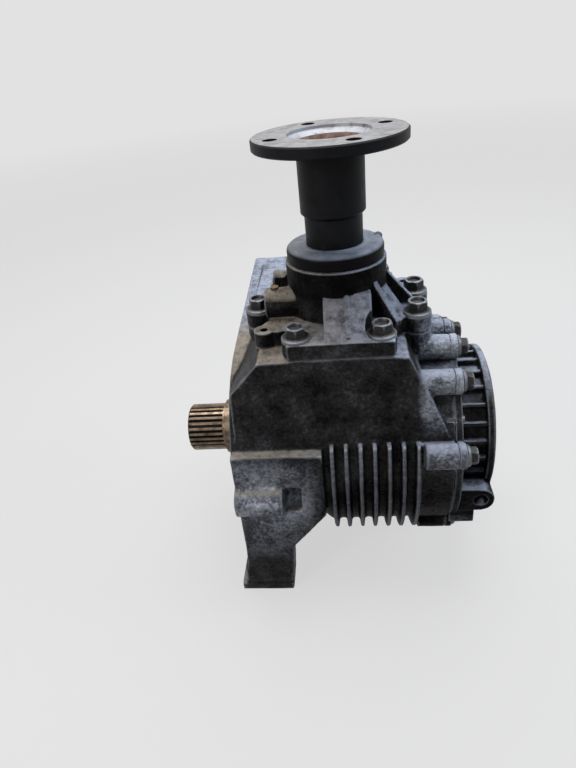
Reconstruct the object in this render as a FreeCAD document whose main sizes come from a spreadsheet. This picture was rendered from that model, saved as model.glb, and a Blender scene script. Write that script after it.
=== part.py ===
"""Right-angle transfer case: a hollow splined input shaft drives a bevel ring gear inside a finned
case, and the ring gear drives a pinion whose shaft carries the companion flange.

Frame: the origin is where the input axis (X) meets the output axis (Z), which is also the common
apex of the bevel gears. The input spline points to -X, the companion flange to +Z, the leg to -Y.
"""
import FreeCAD
import Part
import Sketcher
import math
import os

Vector = FreeCAD.Vector

SIZES = {
    # bevel gear pair
    "ring_teeth": 37,
    "pinion_teeth": 15,
    "ring_pitch_radius": 68.0,
    "tooth_face": 22.0,
    "tooth_backlash": 0.9,
    "pressure_angle": 20.0,
    "gear_rim_depth": 6.0,
    # input shaft, along X
    "spline_tip": 140.7,
    "spline_length": 34.0,
    "spline_radius": 21.3,
    "spline_depth": 1.7,
    "spline_teeth": 27,
    "through_bore": 16.5,
    "seal_journal": 24.8,
    "input_journal": 27.5,
    "shaft_body": 33.0,
    "gear_register": 42.0,
    "gear_flange_radius": 60.0,
    "gear_flange_thick": 9.0,
    "gear_seat": 50.0,
    "gear_register_length": 12.0,
    "shaft_right_end": 115.0,
    "gear_bolt_circle": 51.0,
    "gear_bolt_count": 10,
    "gear_bolt_radius": 5.0,
    "gear_bolt_reach": 11.0,
    # input shaft bearings
    "input_cup_radius": 45.0,
    "input_bearing_width": 20.0,
    "input_cup_width": 17.0,
    "input_cone_back": 40.0,
    "cover_cone_back": 84.0,
    "input_race_mid": 32.0,
    "input_roller_mid": 4.6,
    "input_roller_length": 13.0,
    "input_roller_count": 16,
    "shim_thick": 1.0,
    # pinion shaft and its bearings, along Z
    "head_journal": 17.5,
    "tail_journal": 15.0,
    "hub_spline": 14.0,
    "nut_thread": 10.0,
    "pinion_shoulder": 74.0,
    "pinion_shoulder_radius": 23.0,
    "journal_step": 122.0,
    "head_cup_radius": 36.0,
    "head_bearing_width": 20.0,
    "head_cup_width": 15.0,
    "head_race_mid": 21.6,
    "head_roller_mid": 4.4,
    "head_roller_length": 13.0,
    "head_roller_count": 14,
    "tail_cup_radius": 31.0,
    "tail_bearing_width": 17.0,
    "tail_cup_width": 13.0,
    "tail_cone_back": 144.0,
    "tail_race_mid": 18.6,
    "tail_roller_mid": 3.8,
    "tail_roller_length": 10.5,
    "tail_roller_count": 14,
    "cone_slope": 10.0,
    "cup_slope": 15.0,
    "roller_gap": 0.25,
    # companion flange, dust cover and pinion nut
    "flange_face": 246.4,
    "flange_radius": 55.0,
    "flange_thick": 8.0,
    "flange_hole_circle": 42.7,
    "flange_hole_radius": 5.25,
    "flange_hole_start": 22.0,
    "recess_radius": 29.5,
    "recess_step": 24.0,
    "recess_depth": 5.0,
    "flange_bore": 18.5,
    "nut_seat": 201.0,
    "stem_upper": 24.1,
    "stem_lower": 21.5,
    "stem_step": 190.0,
    "seal_land": 20.0,
    "seal_land_top": 161.0,
    "dust_cover_radius": 37.0,
    "dust_cover_top": 169.0,
    "dust_cover_wall": 2.5,
    "cover_seam": 0.5,
    "nut_washer_thick": 2.0,
    "nut_height": 14.0,
    "nut_across_flats": 30.0,
    "thread_proud": 4.0,
    # output housing
    "joint_height": 104.0,
    "plate_thick": 13.0,
    "plate_core_radius": 58.0,
    "housing_bolt_circle": 64.0,
    "housing_thread_depth": 22.0,
    "housing_bolt_reach": 20.0,
    "housing_head_height": 10.0,
    "housing_head_radius": 10.2,
    "lobe_radius": 11.0,
    "housing_bolt_radius": 5.0,
    "housing_hole_radius": 5.5,
    "bolt_head_seat": 11.5,
    "spigot_radius": 46.0,
    "spigot_bottom": 78.0,
    "skirt_radius": 54.0,
    "neck_radius": 38.6,
    "neck_bottom": 140.0,
    "neck_top": 157.7,
    "housing_web_radius": 29.0,
    "skirt_rib_width": 5.0,
    "skirt_rib_reach": 61.0,
    "plate_front": 67.0,
    "plate_front_left": 38.0,
    "plate_front_right": 40.0,
    "panel_left": 10.5,
    "panel_right": 25.0,
    "panel_front": 64.0,
    "panel_rib_x": 7.0,
    "panel_rib_width": 3.0,
    "panel_rib_proud": 1.6,
    "side_boss_radius": 11.5,
    "side_boss_end": 56.0,
    "side_boss_y": 14.0,
    "side_boss_z": 128.0,
    "rear_boss_radius": 6.5,
    "rear_boss_end": 52.0,
    "rear_boss_y": 20.0,
    "rear_boss_z": 134.0,
    "breather_x": 48.0,
    "breather_stem": 2.0,
    "breather_cap": 3.2,
    "breather_proud": 1.5,
    "breather_reach": 12.0,
    "dowel_circle": 68.0,
    "dowel_radius": 3.0,
    "dowel_length": 14.0,
    "dowel_lobe": 8.0,
    "oring_section": 1.5,
    "seal_gap": 0.25,
    "seal_width": 8.0,
    # main case
    "case_flange_thick": 9.0,
    "drum_radius": 85.0,
    "case_wall": 7.0,
    "drum_left": 14.0,
    "hub_radius": 64.0,
    "hub_right": 40.0,
    "mount_face": 89.0,
    "mount_thick": 12.0,
    "case_joint": 84.0,
    "bearing_wall": 34.0,
    "bearing_web_radius": 29.0,
    "seal_bore": 36.0,
    "gear_access_bottom": 40.0,
    "tower_top_left": 61.0,
    "tower_top_right": 50.0,
    "tower_top_front": 67.0,
    "tower_shoulder": 77.0,
    "tower_waist_right": 62.0,
    "tower_knee": 32.0,
    "tower_foot_right": 83.0,
    "fin_radius": 93.0,
    "fin_pitch": 10.9,
    "fin_count": 7,
    "fin_first": 9.5,
    "fin_root": 5.0,
    "fin_tip": 3.0,
    "fin_top": 36.0,
    # front leg
    "leg_front": 88.0,
    "leg_thick": 26.0,
    "leg_top": 32.0,
    "leg_left": 88.5,
    "leg_right": 17.0,
    "leg_shoulder": 30.0,
    "leg_waist": 67.0,
    "leg_waist_right": 47.0,
    "foot_bottom": 118.0,
    "foot_left": 97.0,
    "foot_right": 51.0,
    "foot_height": 8.0,
    "foot_chamfer": 5.0,
    "foot_boss_left": 92.0,
    "foot_boss_y": 76.0,
    "foot_boss_z": 104.0,
    "foot_boss_radius": 14.0,
    "mount_hole": 5.5,
    "leg_boss_radius": 13.0,
    "leg_boss_y": 87.0,
    "leg_boss_z": 12.0,
    "leg_boss_right": 50.0,
    # rear arm of the mounting flange
    "arm_y": 162.0,
    "arm_z": 76.0,
    "arm_radius": 24.0,
    "arm_right": 50.0,
    "arm_wall": 8.0,
    "arm_pocket_y": 62.0,
    "arm_boss_radius": 12.0,
    # end cover
    "cover_flange_thick": 6.0,
    "cover_bolt_outset": 7.0,
    "inner_bolt_outset": 1.0,
    "cover_dowel_inset": 3.5,
    "cover_lobe": 10.0,
    "cover_boss_left": 60.0,
    "cover_bolt_radius": 4.0,
    "cover_hole_radius": 4.5,
    "cover_bolt_reach": 20.0,
    "cover_bolt_end_gap": 2.0,
    "cover_head_height": 8.0,
    "cover_head_radius": 8.6,
    "barrel_radius": 57.0,
    "cover_fin_radius": 62.5,
    "cover_fin_thick": 3.2,
    "cover_fin_count": 26,
    "rim_radius": 65.0,
    "rim_left": 112.5,
    "rim_edge": 117.5,
    "cover_face": 120.0,
    "dome_edge": 58.0,
    "hub_outer": 53.0,
    "cover_spigot_depth": 8.0,
    "cover_spigot_wall": 8.0,
    "ear_x": 108.0,
    "ear_z": 30.0,
    "ear_front": 74.0,
    "ear_thick": 15.0,
    "ear_radius": 11.0,
    "ear_hole": 5.5,
    "ear_block": 26.0,
    # plugs
    "plug_radius": 9.0,
    "plug_boss": 12.5,
    "plug_x": 70.5,
    "drain_y": 34.0,
    "fill_z": 2.0,
    "plug_boss_proud": 6.0,
    "plug_boss_length": 20.0,
    "plug_thread_depth": 30.0,
    "plug_head_radius": 11.0,
    "plug_washer": 1.5,
}

# Bolts round the output plate and round the end cover, in degrees. The plate's angles are measured
# from +X towards +Y, the cover's from the front (-Y) upwards.
HOUSING_BOLTS = (-119, -61, -21, 16, 55, 97, 139, 181)
HOUSING_RIBS = (-43, -5, 35.5, 76, 118, 160)
SKIRT_SECTOR = (-43, -16)
HOUSING_DOWELS = (-146, 36)
COVER_BOLTS = (18, 53, 73, 92, 132, 164, 200, 236, 270, 304)
OUTER_COVER_BOLTS = (18, 53, 73)
COVER_DOWELS = (35, 218)

doc = FreeCAD.newDocument("TransferCase")
sheet = doc.addObject("Spreadsheet::Sheet", "Sizes")
NODES = []


class Size:
    """A length together with the sheet formula that gives it, so that objects can be bound to it."""

    def __init__(self, value, formula):
        self.value = float(value)
        self.formula = formula

    def __float__(self):
        return self.value

    def __neg__(self):
        return Size(-self.value, "-(%s)" % self.formula)

    def __add__(self, other):
        return Size(self.value + float(other), "(%s + %s)" % (self.formula, formula(other)))

    def __radd__(self, other):
        return Size(float(other) + self.value, "(%s + %s)" % (formula(other), self.formula))

    def __sub__(self, other):
        return Size(self.value - float(other), "(%s - %s)" % (self.formula, formula(other)))

    def __rsub__(self, other):
        return Size(float(other) - self.value, "(%s - %s)" % (formula(other), self.formula))

    def __mul__(self, other):
        return Size(self.value * float(other), "(%s * %s)" % (self.formula, formula(other)))

    __rmul__ = __mul__


def formula(value):
    """The sheet formula of a Size, or a plain number as text."""
    return value.formula if isinstance(value, Size) else "%.9f" % float(value)


def tangent(angle):
    """The tangent of an angle in degrees that the sheet holds."""
    return Size(math.tan(math.radians(float(angle))), "tan(%s * 1deg)" % angle.formula)


class Cells:
    """Every size by its name."""


def fill_sheet():
    cells = Cells()
    for row, (name, value) in enumerate(SIZES.items(), start=1):
        sheet.set("A%d" % row, name)
        sheet.set("B%d" % row, str(value))
        sheet.setAlias("B%d" % row, name)
        setattr(cells, name, Size(value, "Sizes." + name))
    doc.recompute()
    return cells


s = fill_sheet()


def bind(obj, prop, value):
    """Give a property its value and, where it comes from the sheet, its formula."""
    if isinstance(value, Size):
        obj.setExpression(prop, value.formula)


def keep(obj, node):
    """Mark an object as the finished sub-part of that name."""
    obj.Label = node
    NODES.append(obj)
    return obj


def place(obj, at, rotation=None):
    turn = rotation or FreeCAD.Rotation()
    obj.Placement = FreeCAD.Placement(Vector(*[float(v) for v in at]), turn)
    for letter, value in zip("xyz", at):
        bind(obj, "Placement.Base." + letter, value)


TURN = {
    "X": FreeCAD.Rotation(Vector(0, 1, 0), 90),
    "Y": FreeCAD.Rotation(Vector(1, 0, 0), -90),
    "Z": FreeCAD.Rotation(),
}


def cylinder(name, axis, radius, start, end, across=(0, 0)):
    """A cylinder from start to end along an axis; across gives its other two coordinates."""
    obj = doc.addObject("Part::Cylinder", name)
    obj.Radius = float(radius)
    obj.Height = float(end) - float(start)
    bind(obj, "Radius", radius)
    bind(obj, "Height", end - start)
    first, second = across
    at = {"X": (start, first, second), "Y": (first, start, second), "Z": (first, second, start)}
    place(obj, at[axis], TURN[axis])
    return obj


def block(name, x_range, y_range, z_range):
    """A box between two limits on each axis."""
    obj = doc.addObject("Part::Box", name)
    sides = zip(("Length", "Width", "Height"), (x_range, y_range, z_range))
    for prop, (low, high) in sides:
        setattr(obj, prop, float(high) - float(low))
        bind(obj, prop, high - low)
    place(obj, (x_range[0], y_range[0], z_range[0]))
    return obj


def fuse(name, shapes, refine=True):
    obj = doc.addObject("Part::MultiFuse", name)
    obj.Shapes = shapes
    obj.Refine = refine
    return obj


def common(name, shapes):
    obj = doc.addObject("Part::MultiCommon", name)
    obj.Shapes = shapes
    return obj


def cut(name, base, tools):
    """The base less its tools, which are joined first where there are several."""
    obj = doc.addObject("Part::Cut", name)
    obj.Base = base
    obj.Tool = tools[0] if len(tools) == 1 else fuse(name + "_tools", tools)
    obj.Refine = False
    return obj


def outline_body(name, plane, points, offset=0.0):
    """A body with a closed sketch through the given corners, each held by two bound distances."""
    body = doc.addObject("PartDesign::Body", name)
    sketch = body.newObject("Sketcher::SketchObject", name + "_outline")
    planes = [f for f in body.Origin.OriginFeatures if f.Role == plane]
    sketch.AttachmentSupport = [(planes[0], "")]
    sketch.MapMode = "FlatFace"
    sketch.AttachmentOffset = FreeCAD.Placement(Vector(0, 0, float(offset)), FreeCAD.Rotation())
    bind(sketch, "AttachmentOffset.Base.z", offset)
    corners = [Vector(float(a), float(b), 0) for a, b in points]
    count = len(points)
    for i in range(count):
        sketch.addGeometry(Part.LineSegment(corners[i], corners[(i + 1) % count]), False)
    for i in range(count):
        sketch.addConstraint(Sketcher.Constraint("Coincident", i, 2, (i + 1) % count, 1))
    for i, (a, b) in enumerate(points):
        for kind, value in (("DistanceX", a), ("DistanceY", b)):
            index = sketch.addConstraint(Sketcher.Constraint(kind, -1, 1, i, 1, float(value)))
            bind(sketch, "Constraints[%d]" % index, value)
    return body, sketch


def turned(name, axis, points):
    """A turned piece: its outline's corners are (place along the axis, radius)."""
    if axis == "Z":
        points = [(radius, along) for along, radius in points]
    body, sketch = outline_body(name, "XZ_Plane", points)
    revolution = body.newObject("PartDesign::Revolution", name + "_turn")
    revolution.Profile = sketch
    revolution.ReferenceAxis = (sketch, ["V_Axis" if axis == "Z" else "H_Axis"])
    revolution.Angle = 360
    return body


def padded(name, plane, points, offset, length, symmetric=False):
    """An outline padded along its plane's normal, which is -Y for XZ_Plane and +X for YZ_Plane."""
    body, sketch = outline_body(name, plane, points, offset)
    pad = body.newObject("PartDesign::Pad", name + "_pad")
    pad.Profile = sketch
    pad.Length = float(length)
    pad.Midplane = symmetric
    bind(pad, "Length", length)
    return body


def feature(name, shape):
    obj = doc.addObject("Part::Feature", name)
    obj.Shape = shape
    obj.Placement = FreeCAD.Placement()
    return obj


def polar(radius, angle):
    """Two coordinates on a circle, at an angle in degrees from the first axis."""
    turn = math.radians(float(angle))
    return radius * math.cos(turn), radius * math.sin(turn)


def front_polar(radius, angle):
    """(y, z) on a circle about X, at an angle in degrees from the front upwards."""
    forward, up = polar(radius, angle)
    return -forward, up


def cover_bolt_at(angle):
    """(y, z) of an end cover bolt, which stands further out where the case has room for it."""
    outset = s.cover_bolt_outset if angle in OUTER_COVER_BOLTS else s.inner_bolt_outset
    return front_polar(s.drum_radius + outset, angle)


def ring(name, axis, start, end, inner, outer):
    """A plain ring, such as a shim, a washer or a seal."""
    return turned(name, axis, [(start, inner), (start, outer), (end, outer), (end, inner)])


# ---------------------------------------------------------------- bevel gears
def gear_angles(teeth, mate_teeth):
    """Pitch angle of a bevel gear, in radians, for shafts at a right angle."""
    return math.atan2(float(teeth), float(mate_teeth))


def tooth_space(teeth, mate_teeth):
    """One tooth space as a wedge with its point towards the apex.

    The space's section is that of the spur gear which rolls like this bevel gear on its back cone.
    It stands square to the pitch cone at the large end, and the wedge is that section shrunk
    towards the apex, so every flank passes through the apex as on a real bevel gear. The wedge is
    made for a gear about Z, with the space on the +X side.
    """
    pitch_angle = gear_angles(teeth, mate_teeth)
    module = 2.0 * float(s.ring_pitch_radius) / float(s.ring_teeth)
    pitch_radius = module * float(teeth) / 2.0
    cone_length = pitch_radius / math.sin(pitch_angle)
    rolling_radius = pitch_radius / math.cos(pitch_angle)
    rolling_teeth = float(teeth) / math.cos(pitch_angle)
    pressure = math.radians(float(s.pressure_angle))
    base_radius = rolling_radius * math.cos(pressure)
    involute = math.tan(pressure) - pressure
    half_space = (math.pi / 2.0) / rolling_teeth + float(s.tooth_backlash) / 4.0 / rolling_radius
    root_radius = rolling_radius - ROOT_DEPTH * module
    heights = (max(base_radius, root_radius), rolling_radius, rolling_radius + TOP_RELIEF * module)
    flank = []
    for radius in heights:
        roll = math.acos(min(1.0, base_radius / radius))
        flank.append((radius, half_space - involute + math.tan(roll) - roll))
    half = [(root_radius * math.cos(turn) - rolling_radius, root_radius * math.sin(turn))
            for turn in (flank[0][1] * ROOT_SHARE,)]
    half += [(radius * math.cos(turn) - rolling_radius, radius * math.sin(turn))
             for radius, turn in flank]
    section = half + [(height, -across) for height, across in reversed(half)]
    outward = Vector(math.cos(pitch_angle), 0, -math.sin(pitch_angle))
    pitch_line = Vector(math.sin(pitch_angle), 0, math.cos(pitch_angle))
    corners = [pitch_line * cone_length + outward * height + Vector(0, across, 0)
               for height, across in section]
    wires = [Part.makePolygon([corner * scale for corner in corners + corners[:1]])
             for scale in (SPACE_START, SPACE_END)]
    return Part.makeLoft(wires, True, True)


# Share of a module from the pitch cone to the root and past the tips, and the root's narrowing.
ROOT_DEPTH = 1.25
TIP_HEIGHT = 0.95
TOP_RELIEF = 1.15
ROOT_SHARE = 0.8
# The wedge of a tooth space starts short of the teeth and ends past them, in cone lengths.
SPACE_START = 0.55
SPACE_END = 1.12


def gear_corner(teeth, mate_teeth, share, height):
    """(along, radius) of a point on a bevel gear: share of the cone length, height off the cone."""
    pitch_angle = gear_angles(teeth, mate_teeth)
    module = 2.0 * float(s.ring_pitch_radius) / float(s.ring_teeth)
    cone_length = module * float(teeth) / 2.0 / math.sin(pitch_angle)
    along = cone_length * share * math.cos(pitch_angle) - height * share * math.sin(pitch_angle)
    radius = cone_length * share * math.sin(pitch_angle) + height * share * math.cos(pitch_angle)
    return along, radius


def toe_share():
    """Where the teeth end nearest the apex, as a share of the cone length."""
    pitch_angle = gear_angles(s.ring_teeth, s.pinion_teeth)
    cone_length = float(s.ring_pitch_radius) / math.sin(pitch_angle)
    return 1.0 - float(s.tooth_face) / cone_length


def spun(points, axis):
    """A solid turned from (along, radius) corners about Z or X."""
    if axis == "Z":
        corners = [Vector(radius, 0, along) for along, radius in points]
        direction = Vector(0, 0, 1)
    else:
        corners = [Vector(along, 0, radius) for along, radius in points]
        direction = Vector(1, 0, 0)
    face = Part.Face(Part.makePolygon(corners + corners[:1]))
    return face.revolve(Vector(0, 0, 0), direction, 360)


def cut_teeth(blank, teeth, mate_teeth, axis, first):
    """Cut every tooth space out of a gear blank; first is the angle of the first space."""
    space = tooth_space(teeth, mate_teeth)
    direction = Vector(0, 0, 1)
    if axis == "X":
        space.rotate(Vector(0, 0, 0), Vector(0, 1, 0), 90)
        space.rotate(Vector(0, 0, 0), Vector(1, 0, 0), 180)
        direction = Vector(1, 0, 0)
    spaces = []
    for i in range(int(float(teeth))):
        tool = space.copy()
        tool.rotate(Vector(0, 0, 0), direction, first + i * 360.0 / float(teeth))
        spaces.append(tool)
    return blank.cut(spaces)


def make_ring_gear():
    """Ring gear about X with a tooth space at its top, bolted to the shaft's flange."""
    module = 2.0 * float(s.ring_pitch_radius) / float(s.ring_teeth)
    pair = (s.ring_teeth, s.pinion_teeth)
    tip = TIP_HEIGHT * module
    deep = -ROOT_DEPTH * module - float(s.gear_rim_depth)
    toe = toe_share()
    heel_tip = gear_corner(*pair, 1.0, tip)
    heel_back = gear_corner(*pair, 1.0, deep)
    toe_tip = gear_corner(*pair, toe, tip)
    toe_back = gear_corner(*pair, toe, deep)
    register = float(s.gear_register)
    seat = float(s.gear_seat)
    blank = spun([heel_tip, heel_back, (seat, heel_back[1]), (seat, register),
                  (toe_back[0] + 1.0, register), toe_back, toe_tip], "X")
    gear = cut_teeth(blank, *pair, "X", 0.0)
    for i in range(int(float(s.gear_bolt_count))):
        y, z = polar(float(s.gear_bolt_circle), i * 360.0 / float(s.gear_bolt_count))
        start = Vector(seat - float(s.gear_bolt_reach) - 1.0, y, z)
        hole = Part.makeCylinder(float(s.gear_bolt_radius), float(s.gear_bolt_reach) + 2.0, start,
                                 Vector(1, 0, 0))
        gear = gear.cut(hole)
    return keep(feature("RingGear", gear), "ring_gear")


def make_pinion():
    """Pinion about Z with a tooth towards +X, in one piece with its shaft."""
    module = 2.0 * float(s.ring_pitch_radius) / float(s.ring_teeth)
    pair = (s.pinion_teeth, s.ring_teeth)
    tip = TIP_HEIGHT * module
    deep = -ROOT_DEPTH * module - 1.0
    toe = toe_share()
    heel_tip = gear_corner(*pair, 1.0, tip)
    heel_back = gear_corner(*pair, 1.0, deep)
    toe_tip = gear_corner(*pair, toe, tip)
    toe_back = gear_corner(*pair, toe, deep)
    shoulder = float(s.pinion_shoulder)
    head = spun([(toe_back[0], 0), toe_back, toe_tip, heel_tip, heel_back,
                 (shoulder, float(s.pinion_shoulder_radius)), (shoulder, 0)], "Z")
    head = cut_teeth(head, *pair, "Z", 180.0 / float(s.pinion_teeth))
    thread_end = float(s.nut_seat + s.nut_washer_thick + s.nut_height + s.thread_proud)
    step = float(s.journal_step)
    tail = float(s.tail_cone_back)
    nut_seat = float(s.nut_seat)
    shaft = spun([(shoulder - 1.0, 0), (shoulder - 1.0, float(s.head_journal)),
                  (step, float(s.head_journal)), (step, float(s.tail_journal)),
                  (tail, float(s.tail_journal)), (tail, float(s.hub_spline)),
                  (nut_seat, float(s.hub_spline)), (nut_seat, float(s.nut_thread)),
                  (thread_end - 1.0, float(s.nut_thread)), (thread_end, float(s.nut_thread) - 1.0),
                  (thread_end, 0)], "Z")
    return keep(feature("Pinion", head.fuse(shaft).removeSplitter()), "pinion_gear")


# ---------------------------------------------------------------- taper roller bearings
def taper_bearing(node, axis, back, way, sizes):
    """Cup, cone and rollers of a taper roller bearing.

    back is where the cone's large end stands on its shoulder, way is +1 or -1 towards the cup's
    back. Both raceways fall towards the cup's back, the cup's more steeply than the cone's.
    """
    bore, outer, width, cup_width, race_mid, roller_mid, length, count = sizes
    middle = width * 0.5
    race = lambda u: race_mid - (u - middle) * tangent(s.cone_slope)
    track = lambda u: race_mid + roller_mid * 2.05 - (u - middle) * tangent(s.cup_slope)
    first = middle - length * 0.5
    last = middle + length * 0.5
    lip = 1.6
    cone_points = [(0 * width, bore), (0 * width, race(first) + lip), (first, race(first) + lip),
                   (first, race(first)), (last, race(last)), (last, race(last) + lip * 0.5),
                   (width, race(last) + lip * 0.5), (width, bore)]
    cup_start = width - cup_width
    cup_points = [(cup_start, outer), (cup_start, track(cup_start) + s.roller_gap),
                  (width, track(width) + s.roller_gap), (width, outer)]
    moved = lambda points: [(back + u * way, radius) for u, radius in points]
    keep(turned(node + "_cone_body", axis, moved(cone_points)), node + "_cone")
    keep(turned(node + "_cup_body", axis, moved(cup_points)), node + "_cup")
    rollers = []
    low = math.radians(float(s.cone_slope))
    high = math.radians(float(s.cup_slope))
    lean = (low + high) / 2.0
    tilt = float(roller_mid) * math.sin(lean)
    size = float(length) - 2.0 * (tilt + float(s.roller_gap))
    centre = float(race_mid) + float(roller_mid) * 1.025
    large = float(roller_mid) + size / 2.0 * math.tan((high - low) / 2.0) - 0.02
    small = float(roller_mid) - size / 2.0 * math.tan((high - low) / 2.0) - 0.02
    along = Vector(1, 0, 0) if axis == "X" else Vector(0, 0, 1)
    radial = Vector(0, 0, 1) if axis == "X" else Vector(1, 0, 0)
    direction = along * (way * math.cos(lean)) - radial * math.sin(lean)
    start = along * (float(back) + way * float(middle)) + radial * centre - direction * (size / 2.0)
    roller = Part.makeCone(large, small, size, start, direction)
    for i in range(int(float(count))):
        copy = roller.copy()
        copy.rotate(Vector(0, 0, 0), along, i * 360.0 / float(count))
        rollers.append(copy)
    keep(feature(node + "_roller_set", Part.makeCompound(rollers)), node + "_rollers")


def make_bearings():
    input_sizes = (s.input_journal, s.input_cup_radius, s.input_bearing_width, s.input_cup_width,
                   s.input_race_mid, s.input_roller_mid, s.input_roller_length,
                   s.input_roller_count)
    head_sizes = (s.head_journal, s.head_cup_radius, s.head_bearing_width, s.head_cup_width,
                  s.head_race_mid, s.head_roller_mid, s.head_roller_length, s.head_roller_count)
    tail_sizes = (s.tail_journal, s.tail_cup_radius, s.tail_bearing_width, s.tail_cup_width,
                  s.tail_race_mid, s.tail_roller_mid, s.tail_roller_length, s.tail_roller_count)
    taper_bearing("input_bearing", "X", -s.input_cone_back, -1, input_sizes)
    taper_bearing("cover_bearing", "X", s.cover_cone_back, 1, input_sizes)
    taper_bearing("pinion_head_bearing", "Z", s.pinion_shoulder + s.shim_thick, 1, head_sizes)
    taper_bearing("pinion_tail_bearing", "Z", s.tail_cone_back, -1, tail_sizes)


# ---------------------------------------------------------------- shared places
input_shoulder = -s.input_cone_back - s.input_bearing_width - s.shim_thick
cover_shoulder = s.cover_cone_back + s.input_bearing_width + s.shim_thick
head_shoulder = s.pinion_shoulder + s.shim_thick + s.head_bearing_width
tail_shoulder = s.tail_cone_back - s.tail_bearing_width
cavity_radius = s.drum_radius - s.case_wall
plug_face = s.drum_radius + s.plug_boss_proud
plate_top = s.joint_height + s.plate_thick
flange_under = s.flange_face - s.flange_thick
cover_outer = s.case_joint + s.cover_flange_thick
spigot_left = s.case_joint - s.cover_spigot_depth
breather_seat = s.side_boss_z + s.side_boss_radius


# ---------------------------------------------------------------- input shaft group
def make_input_shaft():
    flange_right = s.gear_seat + s.gear_flange_thick
    spline_right = -s.spline_tip + s.spline_length
    bearing_left = -s.input_cone_back - s.input_bearing_width
    register_left = s.gear_seat - s.gear_register_length
    bearing_right = s.cover_cone_back + s.input_bearing_width
    edge = 1.5
    body = turned("input_shaft_body", "X", [
        (-s.spline_tip, s.through_bore), (-s.spline_tip, s.spline_radius - edge),
        (-s.spline_tip + edge, s.spline_radius), (spline_right, s.spline_radius),
        (spline_right, s.seal_journal), (bearing_left, s.seal_journal),
        (bearing_left, s.input_journal), (-s.input_cone_back, s.input_journal),
        (-s.input_cone_back, s.shaft_body), (register_left, s.shaft_body),
        (register_left, s.gear_register), (s.gear_seat, s.gear_register),
        (s.gear_seat, s.gear_flange_radius), (flange_right, s.gear_flange_radius),
        (flange_right, s.shaft_body), (s.cover_cone_back, s.shaft_body),
        (s.cover_cone_back, s.input_journal), (bearing_right, s.input_journal),
        (bearing_right, s.seal_journal), (s.shaft_right_end, s.seal_journal),
        (s.shaft_right_end, s.through_bore)])
    doc.recompute()
    count = int(float(s.spline_teeth))
    outer = float(s.spline_radius) + 0.5
    root = float(s.spline_radius - s.spline_depth)
    half_top = math.pi * float(s.spline_radius) / count * 0.62
    half_root = half_top * 0.5
    left = -float(s.spline_tip) - 1.0
    groove = Part.makePolygon([Vector(left, -half_root, root), Vector(left, half_root, root),
                               Vector(left, half_top, outer), Vector(left, -half_top, outer),
                               Vector(left, -half_root, root)])
    tool = Part.Face(groove).extrude(Vector(float(s.spline_length) - 1.0, 0, 0))
    tools = []
    for i in range(count):
        copy = tool.copy()
        copy.rotate(Vector(0, 0, 0), Vector(1, 0, 0), i * 360.0 / count)
        tools.append(copy)
    for i in range(int(float(s.gear_bolt_count))):
        y, z = polar(float(s.gear_bolt_circle), i * 360.0 / float(s.gear_bolt_count))
        tools.append(Part.makeCylinder(float(s.gear_bolt_radius), 2.0 * float(s.gear_flange_thick),
                                       Vector(float(s.gear_seat) - 3.0, y, z), Vector(1, 0, 0)))
    keep(feature("InputShaft", body.Shape.cut(tools)), "input_shaft")


DISH_SHARE = 0.68
DISH_DEPTH = 2.0


def hex_bolt(shank, reach, head_height, washer_radius, at, way):
    """A hex flange bolt: at is the seat under its head, way the direction from seat to head."""
    direction = Vector(*way)
    flats = washer_radius * 0.72
    washer_height = head_height * 0.25
    corner = flats / math.cos(math.pi / 6.0)
    points = [Vector(corner * math.cos(i * math.pi / 3.0), corner * math.sin(i * math.pi / 3.0), 0)
              for i in range(7)]
    head = Part.Face(Part.makePolygon(points)).extrude(Vector(0, 0, head_height))
    washer = Part.makeCone(washer_radius, washer_radius * 0.86, washer_height)
    stem = Part.makeCylinder(shank, reach, Vector(0, 0, -reach))
    dish = Part.makeCylinder(flats * DISH_SHARE, DISH_DEPTH, Vector(0, 0, head_height - DISH_DEPTH))
    bolt = head.cut(dish).fuse([washer, stem])
    turn = FreeCAD.Rotation(Vector(0, 0, 1), direction)
    bolt.Placement = FreeCAD.Placement(Vector(*at), turn)
    return bolt


def make_gear_bolts():
    seat = float(s.gear_seat + s.gear_flange_thick)
    reach = float(s.gear_flange_thick + s.gear_bolt_reach)
    bolts = []
    for i in range(int(float(s.gear_bolt_count))):
        y, z = polar(float(s.gear_bolt_circle), i * 360.0 / float(s.gear_bolt_count))
        bolts.append(hex_bolt(float(s.gear_bolt_radius), reach, 7.0, 8.4, (seat, y, z), (1, 0, 0)))
    keep(feature("RingGearBolts", Part.makeCompound(bolts)), "ring_gear_bolts")


# ---------------------------------------------------------------- pinion group
def make_companion_flange():
    edge = 1.0
    blend = 5.0
    body = turned("companion_flange_body", "Z", [
        (s.tail_cone_back, s.hub_spline), (s.tail_cone_back, s.seal_land),
        (s.seal_land_top, s.seal_land), (s.seal_land_top, s.stem_lower),
        (s.stem_step, s.stem_lower), (s.stem_step + 2.6, s.stem_upper),
        (flange_under - blend, s.stem_upper), (flange_under, s.stem_upper + blend),
        (flange_under, s.flange_radius - edge), (flange_under + edge, s.flange_radius),
        (s.flange_face - edge, s.flange_radius), (s.flange_face, s.flange_radius - edge),
        (s.flange_face, s.recess_radius), (s.flange_face - s.recess_depth * 0.4, s.recess_radius),
        (s.flange_face - s.recess_depth, s.recess_step),
        (s.flange_face - s.recess_depth - 4.0, s.flange_bore + 1.5),
        (s.flange_face - s.recess_depth - 7.0, s.flange_bore), (s.nut_seat, s.flange_bore),
        (s.nut_seat, s.hub_spline)])
    holes = []
    for i in range(4):
        x, y = polar(s.flange_hole_circle, SIZES["flange_hole_start"] + 90 * i)
        holes.append(cylinder("flange_hole_%d" % i, "Z", s.flange_hole_radius, flange_under - 6.0,
                              s.flange_face + 1.0, (x, y)))
    keep(cut("CompanionFlange", body, holes), "companion_flange")


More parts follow.
